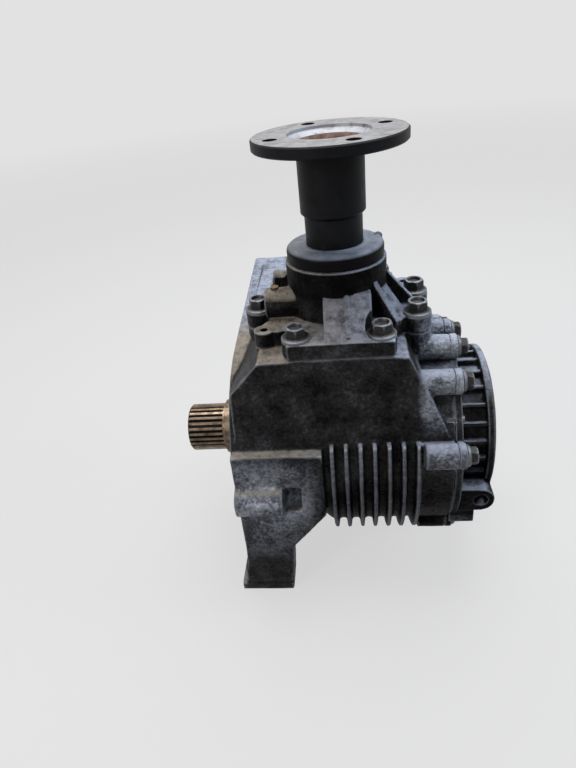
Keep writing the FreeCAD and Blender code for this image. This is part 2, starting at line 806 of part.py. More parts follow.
def make_dust_cover():
    under = s.neck_top + s.cover_seam
    edge = 3.0
    inside = s.dust_cover_radius - s.dust_cover_wall
    keep(turned("dust_cover_body", "Z", [
        (s.dust_cover_top, s.stem_lower), (s.dust_cover_top, s.dust_cover_radius - edge),
        (s.dust_cover_top - 0.9, s.dust_cover_radius - 0.9),
        (s.dust_cover_top - edge, s.dust_cover_radius), (under, s.dust_cover_radius),
        (under, inside), (s.dust_cover_top - s.dust_cover_wall, inside),
        (s.dust_cover_top - s.dust_cover_wall, s.stem_lower)]), "dust_cover")


def make_pinion_fittings():
    keep(ring("pinion_shim_body", "Z", s.pinion_shoulder, s.pinion_shoulder + s.shim_thick,
              s.head_journal, s.pinion_shoulder_radius), "pinion_shim")
    inner = s.head_journal + 0.1
    outer = inner + 2.6
    bulge = 2.2
    middle = (head_shoulder + tail_shoulder) * 0.5
    keep(turned("spacer_body", "Z", [
        (head_shoulder, inner), (head_shoulder, outer), (middle - 6.0, outer),
        (middle, outer + bulge), (middle + 6.0, outer), (tail_shoulder, outer),
        (tail_shoulder, inner), (middle + 6.0, inner), (middle, inner + bulge),
        (middle - 6.0, inner)]), "collapsible_spacer")
    washer_top = s.nut_seat + s.nut_washer_thick
    keep(ring("nut_washer_body", "Z", s.nut_seat, washer_top, s.nut_thread, s.flange_bore - 1.0),
         "nut_washer")
    nut = doc.addObject("Part::Prism", "nut_hexagon")
    nut.Polygon = 6
    nut.Circumradius = float(s.nut_across_flats) / math.sqrt(3.0)
    nut.Height = float(s.nut_height)
    bind(nut, "Circumradius", s.nut_across_flats * (1.0 / math.sqrt(3.0)))
    bind(nut, "Height", s.nut_height)
    place(nut, (0, 0, washer_top))
    thread = cylinder("nut_bore", "Z", s.nut_thread, washer_top - 1.0,
                      washer_top + s.nut_height + 1.0)
    keep(cut("PinionNut", nut, [thread]), "pinion_nut")


# ---------------------------------------------------------------- output housing
def plate_shapes(name, bottom, top):
    """The lobed outline shared by the housing's plate and the face of the case under it."""
    shapes = [cylinder(name + "_core", "Z", s.plate_core_radius, bottom, top)]
    shapes.append(block(name + "_front", (-s.plate_front_left, s.plate_front_right),
                        (-s.plate_front, 0), (bottom, top)))
    for i, angle in enumerate(HOUSING_BOLTS):
        shapes.append(cylinder("%s_lobe_%d" % (name, i), "Z", s.lobe_radius, bottom, top,
                               polar(s.housing_bolt_circle, angle)))
    for i, angle in enumerate(HOUSING_DOWELS):
        shapes.append(cylinder("%s_dowel_lobe_%d" % (name, i), "Z", s.dowel_lobe, bottom, top,
                               polar(s.dowel_circle, angle)))
        shapes.append(cylinder("%s_dowel_root_%d" % (name, i), "Z", s.lobe_radius, bottom, top,
                               polar(s.dowel_circle - s.lobe_radius, angle)))
    return shapes


# How far a rib or a panel runs into the neck behind its visible edge.
SINK = 1.5


def front_skirt():
    """The sloped panel in front of the neck with its thin rib, and the cone to the right of it."""
    root = s.neck_radius - 4.0
    back = s.neck_radius * 0.6

    def slope(name, proud, offset, length):
        return padded(name, "YZ_Plane", [
            (-back, plate_top - 1.0), (-s.panel_front, plate_top - 1.0),
            (-s.panel_front, plate_top + 1.0 + proud), (-s.neck_radius + SINK, s.neck_bottom + proud),
            (-back, s.neck_bottom + proud)], offset, length)

    panel = slope("front_panel", 0.0, -s.panel_left, s.panel_left + s.panel_right)
    rib = slope("panel_rib", s.panel_rib_proud, s.panel_rib_x - s.panel_rib_width * 0.5,
                s.panel_rib_width)
    cone = turned("skirt_cone", "Z", [
        (plate_top - 1.0, root), (plate_top - 1.0, s.skirt_radius),
        (s.neck_bottom, s.neck_radius - SINK), (s.neck_bottom, root)])
    first, last = SKIRT_SECTOR
    wedge = padded("skirt_wedge", "XY_Plane", [
        (0.0, 0.0), polar(s.housing_bolt_circle, first), polar(s.housing_bolt_circle, last)],
        plate_top - 1.0, s.neck_bottom - plate_top + 1.0)
    return [panel, rib, common("skirt", [cone, wedge])]


def make_output_housing():
    plate_middle = s.joint_height + s.plate_thick * 0.5
    core = turned("housing_core", "Z", [
        (s.spigot_bottom, 0.0), (s.spigot_bottom, s.spigot_radius - 1.0),
        (s.spigot_bottom + 1.0, s.spigot_radius), (plate_middle, s.spigot_radius),
        (plate_middle, s.neck_radius), (s.neck_top, s.neck_radius), (s.neck_top, 0.0)])
    ribs = []
    for i, angle in enumerate(HOUSING_RIBS):
        rib = padded("skirt_rib_%d" % i, "XZ_Plane", [
            (s.neck_radius - 4.0, plate_top - 1.0), (s.skirt_rib_reach, plate_top - 1.0),
            (s.skirt_rib_reach, plate_top + 2.0), (s.neck_radius + 1.0, s.neck_bottom + 4.0),
            (s.neck_radius - 4.0, s.neck_bottom + 4.0)], 0.0, s.skirt_rib_width, True)
        rib.Placement = FreeCAD.Placement(Vector(), FreeCAD.Rotation(Vector(0, 0, 1), angle))
        ribs.append(rib)
    root = -s.neck_radius * 0.8
    bosses = [cylinder("side_boss", "X", s.side_boss_radius, -s.side_boss_end, root,
                       (-s.side_boss_y, s.side_boss_z)),
              cylinder("rear_boss", "X", s.rear_boss_radius, -s.rear_boss_end, root,
                       (s.rear_boss_y, s.rear_boss_z))]
    plated = fuse("housing_plated", [core] + plate_shapes("plate", s.joint_height, plate_top))
    ribbed = fuse("housing_ribbed", [plated] + ribs)
    bossed = fuse("housing_bossed", [ribbed] + bosses, refine=False)
    solid = fuse("housing_solid", [bossed] + front_skirt(), refine=False)
    inner = turned("housing_inner", "Z", [
        (s.spigot_bottom - 1.0, 0.0), (s.spigot_bottom - 1.0, s.head_cup_radius),
        (head_shoulder, s.head_cup_radius), (head_shoulder, s.housing_web_radius),
        (tail_shoulder, s.housing_web_radius), (tail_shoulder, s.tail_cup_radius),
        (s.neck_top + 1.0, s.tail_cup_radius), (s.neck_top + 1.0, 0.0)])
    whole = cut("housing_whole", solid, [inner])
    tools = []
    for i, angle in enumerate(HOUSING_BOLTS):
        at = polar(s.housing_bolt_circle, angle)
        tools.append(cylinder("housing_hole_%d" % i, "Z", s.housing_hole_radius,
                              s.joint_height - 1.0, plate_top + 1.0, at))
        tools.append(cylinder("housing_seat_%d" % i, "Z", s.bolt_head_seat, plate_top,
                              s.neck_top, at))
    for i, angle in enumerate(HOUSING_DOWELS):
        tools.append(cylinder("housing_dowel_hole_%d" % i, "Z", s.dowel_radius,
                              s.joint_height - 1.0, plate_top + 1.0,
                              polar(s.dowel_circle, angle)))
    tools.append(cylinder("breather_hole", "Z", s.breather_stem, breather_seat - s.breather_reach,
                          s.neck_top, (-s.breather_x, -s.side_boss_y)))
    tools.append(ring("housing_oring_groove", "Z", s.joint_height - 14.0, s.joint_height - 11.0,
                      s.spigot_radius - 2.0 * s.oring_section, s.spigot_radius + 1.0))
    keep(cut("OutputHousing", whole, tools), "output_housing")


# ---------------------------------------------------------------- main case
def hull_plate(name, radius, arm_radius, start, end, near_y=0.0, near_z=0.0):
    """A plate square to X whose outline is a band round two circles, one of them the arm's."""
    far = Vector(0, float(s.arm_y), float(s.arm_z))
    near = Vector(0, float(near_y), float(near_z))
    span = far - near
    lean = math.atan2(span.z, span.y)
    open_angle = math.acos((float(radius) - float(arm_radius)) / span.Length)
    sides = []
    for sign in (1, -1):
        turn = lean + sign * open_angle
        out = Vector(0, math.cos(turn), math.sin(turn))
        sides.append((near + out * float(radius), far + out * float(arm_radius)))
    back = Vector(0, -math.cos(lean), -math.sin(lean))
    upper, lower = sides
    edges = [Part.LineSegment(upper[0], upper[1]).toShape(),
             Part.Arc(upper[1], far - back * float(arm_radius), lower[1]).toShape(),
             Part.LineSegment(lower[1], lower[0]).toShape(),
             Part.Arc(lower[0], near + back * float(radius), upper[0]).toShape()]
    face = Part.Face(Part.Wire(edges))
    face.translate(Vector(float(start), 0, 0))
    return feature(name, face.extrude(Vector(float(end) - float(start), 0, 0)))


def make_fins():
    """Cooling fins: tapered hoops round the front, underside and back of the drum."""
    inner = float(s.drum_radius) - 2.0
    outer = float(s.fin_radius)
    fins = []
    for i in range(int(float(s.fin_count))):
        middle = float(s.fin_pitch) * i - float(s.fin_first)
        fins.append(spun([(middle - float(s.fin_root) / 2.0, inner),
                          (middle - float(s.fin_tip) / 2.0, outer),
                          (middle + float(s.fin_tip) / 2.0, outer),
                          (middle + float(s.fin_root) / 2.0, inner)], "X"))
    hoops = feature("fin_hoops", Part.makeCompound(fins))
    reach = s.fin_radius + 2.0
    keep_out = block("fin_top_limit", (-s.fin_first - 10.0, s.case_joint), (-reach, reach),
                     (s.fin_top, reach))
    return cut("fins", hoops, [keep_out])


def make_leg():
    """The front leg: a cast web that narrows to a foot, with two bosses for bolts along X."""
    back = s.leg_front - s.leg_thick
    web = padded("leg_web", "XZ_Plane", [
        (-s.leg_left, s.leg_top), (-s.leg_right, s.leg_top), (-s.leg_right, -s.leg_shoulder),
        (-s.leg_waist_right, -s.leg_waist), (-s.foot_right, -s.foot_bottom),
        (-s.foot_left + s.foot_chamfer, -s.foot_bottom), (-s.leg_left, -s.leg_waist)], back,
        s.leg_thick)
    foot = block("foot", (-s.foot_left, -s.foot_right), (-s.leg_front - 2.0, -back + 4.0),
                 (-s.foot_bottom, -s.foot_bottom + s.foot_height))
    foot_boss = cylinder("foot_boss", "X", s.foot_boss_radius, -s.foot_boss_left, -s.foot_right,
                         (-s.foot_boss_y, -s.foot_boss_z))
    boss = cylinder("leg_boss", "X", s.leg_boss_radius, -s.mount_face, -s.leg_boss_right,
                    (-s.leg_boss_y, -s.leg_boss_z))
    return [web, foot, foot_boss, boss]


def make_tower():
    """The stem of the case from the drum up to the output plate."""
    top = s.joint_height - 1.0
    left = -s.mount_face + 4.0
    wide = s.drum_radius * 0.93
    across = padded("tower_across", "XZ_Plane", [
        (-s.tower_top_left, top), (left, s.tower_shoulder), (left, 0), (s.tower_foot_right + 4.0, 0),
        (s.tower_foot_right, s.tower_knee), (s.tower_waist_right, s.tower_shoulder),
        (s.tower_top_right, top)], 0.0, s.drum_radius * 2.0, True)
    along = padded("tower_along", "YZ_Plane", [
        (-s.tower_top_front, top), (-s.tower_top_front - 1.0, s.tower_shoulder),
        (-wide, s.tower_knee), (-s.drum_radius, 0), (s.drum_radius, 0), (wide, s.tower_knee),
        (s.tower_top_front + 1.0, s.tower_shoulder), (s.tower_top_front, top)],
        -s.mount_face, s.mount_face + s.case_joint)
    return common("tower", [across, along])


def make_main_case():
    left_inner = -s.mount_face + s.mount_thick
    drum = turned("drum", "X", [
        (-s.mount_face + 1.0, 0), (-s.mount_face + 1.0, s.hub_radius),
        (-s.hub_right, s.hub_radius), (-s.drum_left, s.drum_radius), (s.case_joint, s.drum_radius),
        (s.case_joint, 0)])
    mount = hull_plate("mount_flange", s.drum_radius, s.arm_radius, -s.mount_face, left_inner)
    arm_outer = hull_plate("arm_outer", s.arm_radius, s.arm_radius, left_inner - 1.0, -s.arm_right,
                           s.arm_pocket_y, s.arm_z)
    inside = s.arm_radius - s.arm_wall
    arm_inner = hull_plate("arm_inner", inside, inside, left_inner, -s.arm_right + 1.0,
                           s.arm_pocket_y, s.arm_z)
    arm = cut("arm", arm_outer, [arm_inner])
    arm_boss = cylinder("arm_boss", "X", s.arm_boss_radius, left_inner - 1.0, -s.arm_right,
                        (s.arm_y, s.arm_z))
    solids = [drum, make_tower(), mount, arm, arm_boss, make_fins()] + make_leg()
    solids += plate_shapes("case_plate", s.joint_height - s.case_flange_thick, s.joint_height)
    for i, angle in enumerate(HOUSING_BOLTS):
        solids.append(cylinder("tower_boss_%d" % i, "Z", s.lobe_radius - 1.0,
                               s.spigot_bottom - 4.0, s.joint_height - 1.0,
                               polar(s.housing_bolt_circle, angle)))
    for i, angle in enumerate(COVER_BOLTS):
        solids.append(cylinder("cover_boss_%d" % i, "X", s.cover_lobe, s.cover_boss_left,
                               s.case_joint, cover_bolt_at(angle)))
    solids.append(cylinder("drain_boss", "Z", s.plug_boss, -plug_face,
                           -plug_face + s.plug_boss_length, (s.plug_x, s.drain_y)))
    solids.append(cylinder("fill_boss", "Y", s.plug_boss, plug_face - s.plug_boss_length,
                           plug_face, (s.plug_x, s.fill_z)))
    solid = fuse("case_solid", solids)
    bearing_left = input_shoulder
    over = 1.0
    cavity = turned("cavity", "X", [
        (-s.mount_face - over, 0), (-s.mount_face - over, s.seal_bore),
        (-s.mount_face + s.seal_width + 1.0, s.seal_bore),
        (-s.mount_face + s.seal_width + 1.0, s.bearing_web_radius),
        (bearing_left, s.bearing_web_radius), (bearing_left, s.input_cup_radius),
        (-s.bearing_wall, s.input_cup_radius), (-s.bearing_wall, s.hub_radius - s.case_wall),
        (-s.drum_left + 2.0, cavity_radius), (s.case_joint + over, cavity_radius),
        (s.case_joint + over, 0)])
    hollow = cut("case_hollow", solid, [cavity])
    spigot_bore = cylinder("spigot_bore", "Z", s.spigot_radius, s.gear_access_bottom,
                           s.joint_height + over)
    bored = cut("case_bored", hollow, [spigot_bore])
    tools = []
    for i, angle in enumerate(HOUSING_BOLTS):
        tools.append(cylinder("case_thread_%d" % i, "Z", s.housing_bolt_radius,
                              s.joint_height - s.housing_thread_depth, s.joint_height + over,
                              polar(s.housing_bolt_circle, angle)))
    for i, angle in enumerate(HOUSING_DOWELS):
        tools.append(cylinder("case_dowel_hole_%d" % i, "Z", s.dowel_radius,
                              s.joint_height - s.dowel_length * 0.5, s.joint_height + over,
                              polar(s.dowel_circle, angle)))
    for i, angle in enumerate(COVER_BOLTS):
        tools.append(cylinder("cover_thread_%d" % i, "X", s.cover_bolt_radius,
                              s.case_joint - s.cover_bolt_reach, s.case_joint + over,
                              cover_bolt_at(angle)))
    for i, angle in enumerate(COVER_DOWELS):
        tools.append(cylinder("case_cover_dowel_%d" % i, "X", s.dowel_radius,
                              s.case_joint - s.dowel_length * 0.5, s.case_joint + over,
                              front_polar(s.drum_radius - s.cover_dowel_inset, angle)))
    tools.append(cylinder("foot_bore", "X", s.mount_hole, -s.foot_left - over,
                          -s.foot_right + over, (-s.foot_boss_y, -s.foot_boss_z)))
    tools.append(cylinder("leg_bore", "X", s.mount_hole, -s.mount_face - over,
                          -s.leg_boss_right + over, (-s.leg_boss_y, -s.leg_boss_z)))
    tools.append(cylinder("leg_pocket", "X", s.leg_boss_radius - 1.0, -s.leg_boss_right,
                          -s.leg_boss_right + 14.0, (-s.leg_boss_y, -s.leg_boss_z)))
    tools.append(cylinder("arm_bore", "X", s.mount_hole, -s.mount_face - over,
                          -s.arm_right + over, (s.arm_y, s.arm_z)))
    tools.append(cylinder("drain_thread", "Z", s.plug_radius, -plug_face - over,
                          -plug_face + s.plug_thread_depth, (s.plug_x, s.drain_y)))
    tools.append(cylinder("fill_thread", "Y", s.plug_radius, plug_face - s.plug_thread_depth,
                          plug_face + over, (s.plug_x, s.fill_z)))
    keep(cut("MainCase", bored, tools), "main_case")


# ---------------------------------------------------------------- end cover
def make_end_cover():
    core = turned("cover_core", "X", [
        (spigot_left, s.input_cup_radius), (spigot_left, s.hub_outer), (s.case_joint, s.hub_outer),
        (s.case_joint, cavity_radius - s.cover_spigot_wall),
        (spigot_left, cavity_radius - s.cover_spigot_wall), (spigot_left, cavity_radius),
        (s.case_joint, cavity_radius), (s.case_joint, s.drum_radius), (cover_outer, s.drum_radius),
        (cover_outer, s.barrel_radius), (s.rim_left, s.barrel_radius), (s.rim_left, s.rim_radius),
        (s.rim_edge, s.rim_radius), (s.cover_face, s.dome_edge), (s.cover_face, s.seal_bore),
        (cover_shoulder + 2.0, s.seal_bore), (cover_shoulder + 2.0, s.bearing_web_radius + 1.0),
        (cover_shoulder, s.bearing_web_radius + 1.0), (cover_shoulder, s.input_cup_radius)])
    shapes = [core]
    for i in range(SIZES["cover_fin_count"]):
        fin = block("cover_fin_%d" % i, (cover_outer - 1.0, s.rim_left + 1.0),
                    (-s.cover_fin_thick * 0.5, s.cover_fin_thick * 0.5),
                    (s.barrel_radius - 2.0, s.cover_fin_radius))
        turn = FreeCAD.Rotation(Vector(1, 0, 0), i * 360.0 / SIZES["cover_fin_count"] + 4.0)
        fin_set = doc.addObject("Part::Compound", "cover_fin_turned_%d" % i)
        fin_set.Links = [fin]
        fin_set.Placement = FreeCAD.Placement(Vector(), turn)
        shapes.append(fin_set)
    for i, angle in enumerate(COVER_BOLTS):
        shapes.append(cylinder("cover_lobe_%d" % i, "X", s.cover_lobe, s.case_joint, cover_outer,
                               cover_bolt_at(angle)))
    back = s.ear_front - s.ear_thick
    shapes.append(cylinder("ear", "Y", s.ear_radius, -s.ear_front, -back, (s.ear_x, -s.ear_z)))
    shapes.append(block("ear_arm", (s.case_joint, s.ear_x), (-s.ear_front, -back),
                        (-s.ear_z - s.ear_radius, -s.ear_z + s.ear_radius)))
    shapes.append(block("ear_foot", (s.case_joint, s.ear_x - 4.0), (-s.ear_front + 2.0, -back),
                        (-s.ear_z - s.ear_block, -s.ear_z)))
    whole = fuse("cover_whole", shapes)
    tools = []
    for i, angle in enumerate(COVER_BOLTS):
        tools.append(cylinder("cover_hole_%d" % i, "X", s.cover_hole_radius, s.case_joint - 1.0,
                              cover_outer + 1.0, cover_bolt_at(angle)))
    for i, angle in enumerate(COVER_DOWELS):
        tools.append(cylinder("cover_dowel_hole_%d" % i, "X", s.dowel_radius, s.case_joint - 1.0,
                              s.case_joint + s.dowel_length * 0.5,
                              front_polar(s.drum_radius - s.cover_dowel_inset, angle)))
    tools.append(cylinder("ear_bore", "Y", s.ear_hole, -s.ear_front - 1.0, -back + 1.0,
                          (s.ear_x, -s.ear_z)))
    tools.append(ring("cover_oring_groove", "X", s.case_joint - 5.5, s.case_joint - 2.5,
                      cavity_radius - 2.0 * s.oring_section, cavity_radius + 1.0))
    keep(cut("EndCover", whole, tools), "end_cover")


# ---------------------------------------------------------------- fasteners and seals
def make_case_bolts():
    housing = []
    for angle in HOUSING_BOLTS:
        x, y = polar(float(s.housing_bolt_circle), angle)
        reach = float(s.plate_thick + s.housing_bolt_reach)
        housing.append(hex_bolt(float(s.housing_bolt_radius), reach, float(s.housing_head_height),
                                float(s.housing_head_radius), (x, y, float(plate_top)), (0, 0, 1)))
    keep(feature("HousingBolts", Part.makeCompound(housing)), "housing_bolts")
    cover = []
    for angle in COVER_BOLTS:
        y, z = [float(value) for value in cover_bolt_at(angle)]
        reach = float(s.cover_flange_thick + s.cover_bolt_reach - s.cover_bolt_end_gap)
        cover.append(hex_bolt(float(s.cover_bolt_radius), reach, float(s.cover_head_height),
                              float(s.cover_head_radius), (float(cover_outer), y, z), (1, 0, 0)))
    keep(feature("CoverBolts", Part.makeCompound(cover)), "cover_bolts")


def make_dowels():
    half = s.dowel_length * 0.5
    pins = []
    for i, angle in enumerate(HOUSING_DOWELS):
        pins.append(cylinder("housing_pin_%d" % i, "Z", s.dowel_radius, s.joint_height - half,
                             s.joint_height + half, polar(s.dowel_circle, angle)))
    set_of_pins = doc.addObject("Part::Compound", "HousingDowels")
    set_of_pins.Links = pins
    keep(set_of_pins, "housing_dowels")
    pins = []
    for i, angle in enumerate(COVER_DOWELS):
        pins.append(cylinder("cover_pin_%d" % i, "X", s.dowel_radius, s.case_joint - half,
                             s.case_joint + half, front_polar(s.drum_radius - s.cover_dowel_inset, angle)))
    set_of_pins = doc.addObject("Part::Compound", "CoverDowels")
    set_of_pins.Links = pins
    keep(set_of_pins, "cover_dowels")


def make_plugs():
    """Drain plug under the case and fill plug at its back, each on a sealing washer."""
    washers = []
    for name, axis, way, across in (("drain_plug", "Z", -1, (s.plug_x, s.drain_y)),
                                    ("fill_plug", "Y", 1, (s.plug_x, s.fill_z))):
        seat = plug_face * way
        outer = seat + s.plug_washer * way
        low, high = (outer, seat) if way < 0 else (seat, outer)
        disc = cylinder(name + "_disc", axis, s.plug_head_radius + 0.5, low, high, across)
        eye = cylinder(name + "_eye", axis, s.plug_radius, low - 1.0, high + 1.0, across)
        washers.append(cut(name + "_washer", disc, [eye]))
        top = outer + 7.0 * way
        low, high = (top, outer) if way < 0 else (outer, top)
        head = cylinder(name + "_head", axis, s.plug_head_radius, low, high, across)
        stem_end = seat - 12.0 * way
        low, high = (outer, stem_end) if way < 0 else (stem_end, outer)
        stem = cylinder(name + "_stem", axis, s.plug_radius, low, high, across)
        socket_end = top - 6.0 * way
        low, high = (top - 1.0, socket_end) if way < 0 else (socket_end, top + 1.0)
        half = 5.0
        square = {"Z": ((across[0] - half, across[0] + half), (across[1] - half, across[1] + half),
                        (low, high)),
                  "Y": ((across[0] - half, across[0] + half), (low, high),
                        (across[1] - half, across[1] + half))}
        socket = block(name + "_socket", *square[axis])
        keep(cut(name + "_body", fuse(name + "_solid", [head, stem]), [socket]), name)
    pair = doc.addObject("Part::Compound", "PlugWashers")
    pair.Links = washers
    keep(pair, "plug_washers")


def seal(node, axis, start, end, inner, outer):
    """A lipped shaft seal: a channel of rubber with a thin lip on the shaft."""
    lip = inner + s.seal_gap
    wall = 2.0
    keep(turned(node + "_body", axis, [
        (start, lip + wall), (start, outer), (end, outer), (end, lip), (end - wall, lip),
        (end - wall, outer - wall), (start + wall, outer - wall), (start + wall, lip + wall)]), node)


ORING_SIDES = 8


def make_seals():
    seal("input_seal", "X", -s.mount_face + 1.0, -s.mount_face + s.seal_width + 1.0,
         s.seal_journal, s.seal_bore)
    seal("cover_seal", "X", cover_shoulder + 2.0, cover_shoulder + s.seal_width + 2.0,
         s.seal_journal, s.seal_bore)
    seal("output_seal", "Z", s.neck_top - s.seal_width - 1.0, s.neck_top - 1.0,
         s.seal_land, s.tail_cup_radius)
    for node, axis, at, radius in (
            ("housing_oring", "Z", s.joint_height - 12.5, s.spigot_radius),
            ("cover_oring", "X", s.case_joint - 4.0, cavity_radius)):
        middle = radius - s.oring_section
        points = []
        for side in range(ORING_SIDES):
            across, along = polar(s.oring_section, side * 360.0 / ORING_SIDES)
            points.append((at + along, middle + across))
        keep(turned(node + "_hoop", axis, points), node)


def make_shims_and_breather():
    keep(ring("input_shim_body", "X", input_shoulder, input_shoulder + s.shim_thick,
              s.bearing_web_radius + 6.0, s.input_cup_radius), "input_bearing_shim")
    keep(ring("cover_shim_body", "X", cover_shoulder - s.shim_thick, cover_shoulder,
              s.bearing_web_radius + 6.0, s.input_cup_radius), "cover_bearing_shim")
    at = (-s.breather_x, -s.side_boss_y)
    stem = cylinder("breather_stem", "Z", s.breather_stem, breather_seat - s.breather_reach + 1.0,
                    breather_seat, at)
    cap = cylinder("breather_cap", "Z", s.breather_cap, breather_seat,
                   breather_seat + s.breather_proud, at)
    keep(fuse("Breather", [stem, cap]), "breather")


make_ring_gear()
make_pinion()
make_bearings()
make_input_shaft()
make_gear_bolts()
make_companion_flange()
make_dust_cover()
make_pinion_fittings()
make_output_housing()
make_main_case()
make_end_cover()
make_case_bolts()
make_dowels()
make_plugs()
make_seals()
make_shims_and_breather()
doc.recompute()

faults = [obj.Label for obj in doc.Objects if "Invalid" in obj.State or "Error" in obj.State]
if faults:
    raise RuntimeError("these objects failed: " + ", ".join(faults))
os.makedirs("parts", exist_ok=True)
for obj in NODES:
    if obj.Shape.isNull() or not obj.Shape.isValid():
        raise RuntimeError("bad shape: " + obj.Label)
    obj.Shape.exportStep(os.path.join("parts", obj.Label + ".step"))
print("%d sub-parts written" % len(NODES))
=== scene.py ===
"""The looks of a right-angle transfer case, laid out as an add-on and run as a script.

Every length is in millimetres until it goes into a mesh, which is in metres in the CAD frame: X is
the input axis, Z the output axis, and the leg stands at the front, -Y.
"""
import math

import bmesh
import bpy
from mathutils import Matrix, Vector, noise


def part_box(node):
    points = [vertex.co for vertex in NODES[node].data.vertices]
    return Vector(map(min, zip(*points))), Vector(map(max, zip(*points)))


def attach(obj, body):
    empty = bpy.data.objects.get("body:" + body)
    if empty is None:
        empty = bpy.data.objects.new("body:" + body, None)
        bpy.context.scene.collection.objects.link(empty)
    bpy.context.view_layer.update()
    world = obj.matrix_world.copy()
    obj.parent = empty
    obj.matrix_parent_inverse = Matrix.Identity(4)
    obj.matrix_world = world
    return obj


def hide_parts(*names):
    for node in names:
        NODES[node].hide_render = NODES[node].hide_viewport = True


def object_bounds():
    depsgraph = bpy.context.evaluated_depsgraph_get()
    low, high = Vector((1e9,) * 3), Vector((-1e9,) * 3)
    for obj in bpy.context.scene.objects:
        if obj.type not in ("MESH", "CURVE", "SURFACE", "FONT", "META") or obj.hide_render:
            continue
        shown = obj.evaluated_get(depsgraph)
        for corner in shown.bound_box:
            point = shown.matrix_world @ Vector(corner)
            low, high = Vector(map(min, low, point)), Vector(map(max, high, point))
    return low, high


bl_info = {
    "name": "Transfer Case Looks",
    "version": (1, 0, 0),
    "blender": (4, 5, 0),
    "location": "View3D > Sidebar > Transfer Case",
    "description": "Finishes a transfer case: castings, flange, bolts, splined shaft and stage",
    "category": "Object",
}

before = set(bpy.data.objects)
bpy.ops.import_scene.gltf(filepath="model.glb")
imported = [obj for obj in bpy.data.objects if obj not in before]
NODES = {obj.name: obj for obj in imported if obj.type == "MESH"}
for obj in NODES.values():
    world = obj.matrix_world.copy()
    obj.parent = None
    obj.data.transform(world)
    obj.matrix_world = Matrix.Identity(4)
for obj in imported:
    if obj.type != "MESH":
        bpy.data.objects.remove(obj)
CAD_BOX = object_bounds()
MM = 0.001
BOLT_HEAD = 10.0
COVER_BOLT_HEAD = 8.0
PLATE_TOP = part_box("housing_bolts")[1].z / MM - BOLT_HEAD


# ---------------------------------------------------------------- colours and nodes
def linear(hex_text):
    """An sRGB colour such as 8a7b66 as linear RGBA."""
    channels = [int(hex_text[i:i + 2], 16) / 255.0 for i in (0, 2, 4)]
    return tuple(c / 12.92 if c <= 0.04045 else ((c + 0.055) / 1.055) ** 2.4 for c in channels) + (1.0,)


def feed(tree, node, inputs):
    """Give a node's inputs, by name or number, a value or another node's output."""
    for key, value in inputs.items():
        socket = node.inputs[key]
        if isinstance(value, bpy.types.NodeSocket):
            tree.links.new(value, socket)
        else:
            socket.default_value = value


def add_node(tree, kind, inputs=None, **settings):
    """Add a node with its settings and its inputs."""
    made = tree.nodes.new(kind)
    for name, value in settings.items():
        setattr(made, name, value)
    feed(tree, made, inputs or {})
    return made


def new_material(name):
    """A material with an empty tree but for its output and its main shader, and object coordinates."""
    material = bpy.data.materials.new(name)
    material.use_nodes = True
    tree = material.node_tree
    tree.nodes.clear()
    shader = add_node(tree, "ShaderNodeBsdfPrincipled")
    add_node(tree, "ShaderNodeOutputMaterial", {"Surface": shader.outputs["BSDF"]})
    place = add_node(tree, "ShaderNodeTexCoord").outputs["Object"]
    return material, tree, shader, place


def spread(tree, value, low, high, to_low=0.0, to_high=1.0):
    """The output of a Map Range node, which is clamped."""
    return add_node(tree, "ShaderNodeMapRange", {
        "Value": value, "From Min": low, "From Max": high, "To Min": to_low, "To Max": to_high,
    }).outputs["Result"]


def fade(tree, coordinate, start_mm, end_mm, at_start=0.0, at_end=1.0):
    """A zone along a coordinate: 0 before start_mm and 1 past end_mm, unless told otherwise."""
    return spread(tree, coordinate, start_mm * MM, end_mm * MM, at_start, at_end)


def mixed(tree, factor, first, second):
    """The colour output of a Mix node; a colour is hex text or another node's output."""
    first, second = [linear(colour) if isinstance(colour, str) else colour for colour in (first, second)]
    return add_node(tree, "ShaderNodeMix", {0: factor, 6: first, 7: second}, data_type="RGBA").outputs[2]


def maths(tree, operation, first, second=0.5):
    return add_node(tree, "ShaderNodeMath", {0: first, 1: second}, operation=operation).outputs[0]


def times(tree, first, *others):
    for other in others:
        first = maths(tree, "MULTIPLY", first, other)
    return first


def either(tree, first, second):
    """The larger of two zones."""
    return maths(tree, "MAXIMUM", first, second)


def blend(tree, first, share, second, other_share=1.0):
    """first * share + second * other_share."""
    return maths(tree, "ADD", times(tree, first, share), times(tree, second, other_share))


def cloud(tree, place, grain_mm, detail=4.0, roughness=0.55, stretch=None):
    """Noise whose lumps are about grain_mm across, stretched along an axis where that is given."""
    vector = place
    if stretch:
        vector = add_node(tree, "ShaderNodeMapping", {"Vector": place, "Scale": stretch}).outputs[0]
    return add_node(tree, "ShaderNodeTexNoise", {
        "Vector": vector, "Scale": 1.0 / (grain_mm * MM), "Detail": detail,
        "Roughness": roughness}).outputs["Fac"]


def parts_of(tree, vector):
    """The X, Y and Z outputs of a vector."""
    return add_node(tree, "ShaderNodeSeparateXYZ", {0: vector}).outputs


def surface(tree):
    """The surface's normal and how far it stands out as an edge: 0.5 on a flat."""
    outputs = add_node(tree, "ShaderNodeNewGeometry").outputs
    return outputs["Normal"], outputs["Pointiness"]


def axis_radius(tree, place, axis):
    """Distance from the input axis (X) or the output axis (Z), in millimetres."""
    x, y, z = parts_of(tree, place)
    first, second = (y, z) if axis == "X" else (x, y)
    squares = maths(tree, "ADD", times(tree, first, first), times(tree, second, second))
    return times(tree, maths(tree, "SQRT", squares), 1.0 / MM)


def tool_rings(tree, along, pitch):
    """The waves that a cutting tool leaves, one to a pitch."""
    return maths(tree, "SINE", times(tree, along, 2.0 * math.pi / pitch))


def uneven(tree, film, low, high):
    """A roughness that wanders between low and high with a film of dirt or oil."""
    return spread(tree, film, 0.3, 0.7, low, high)


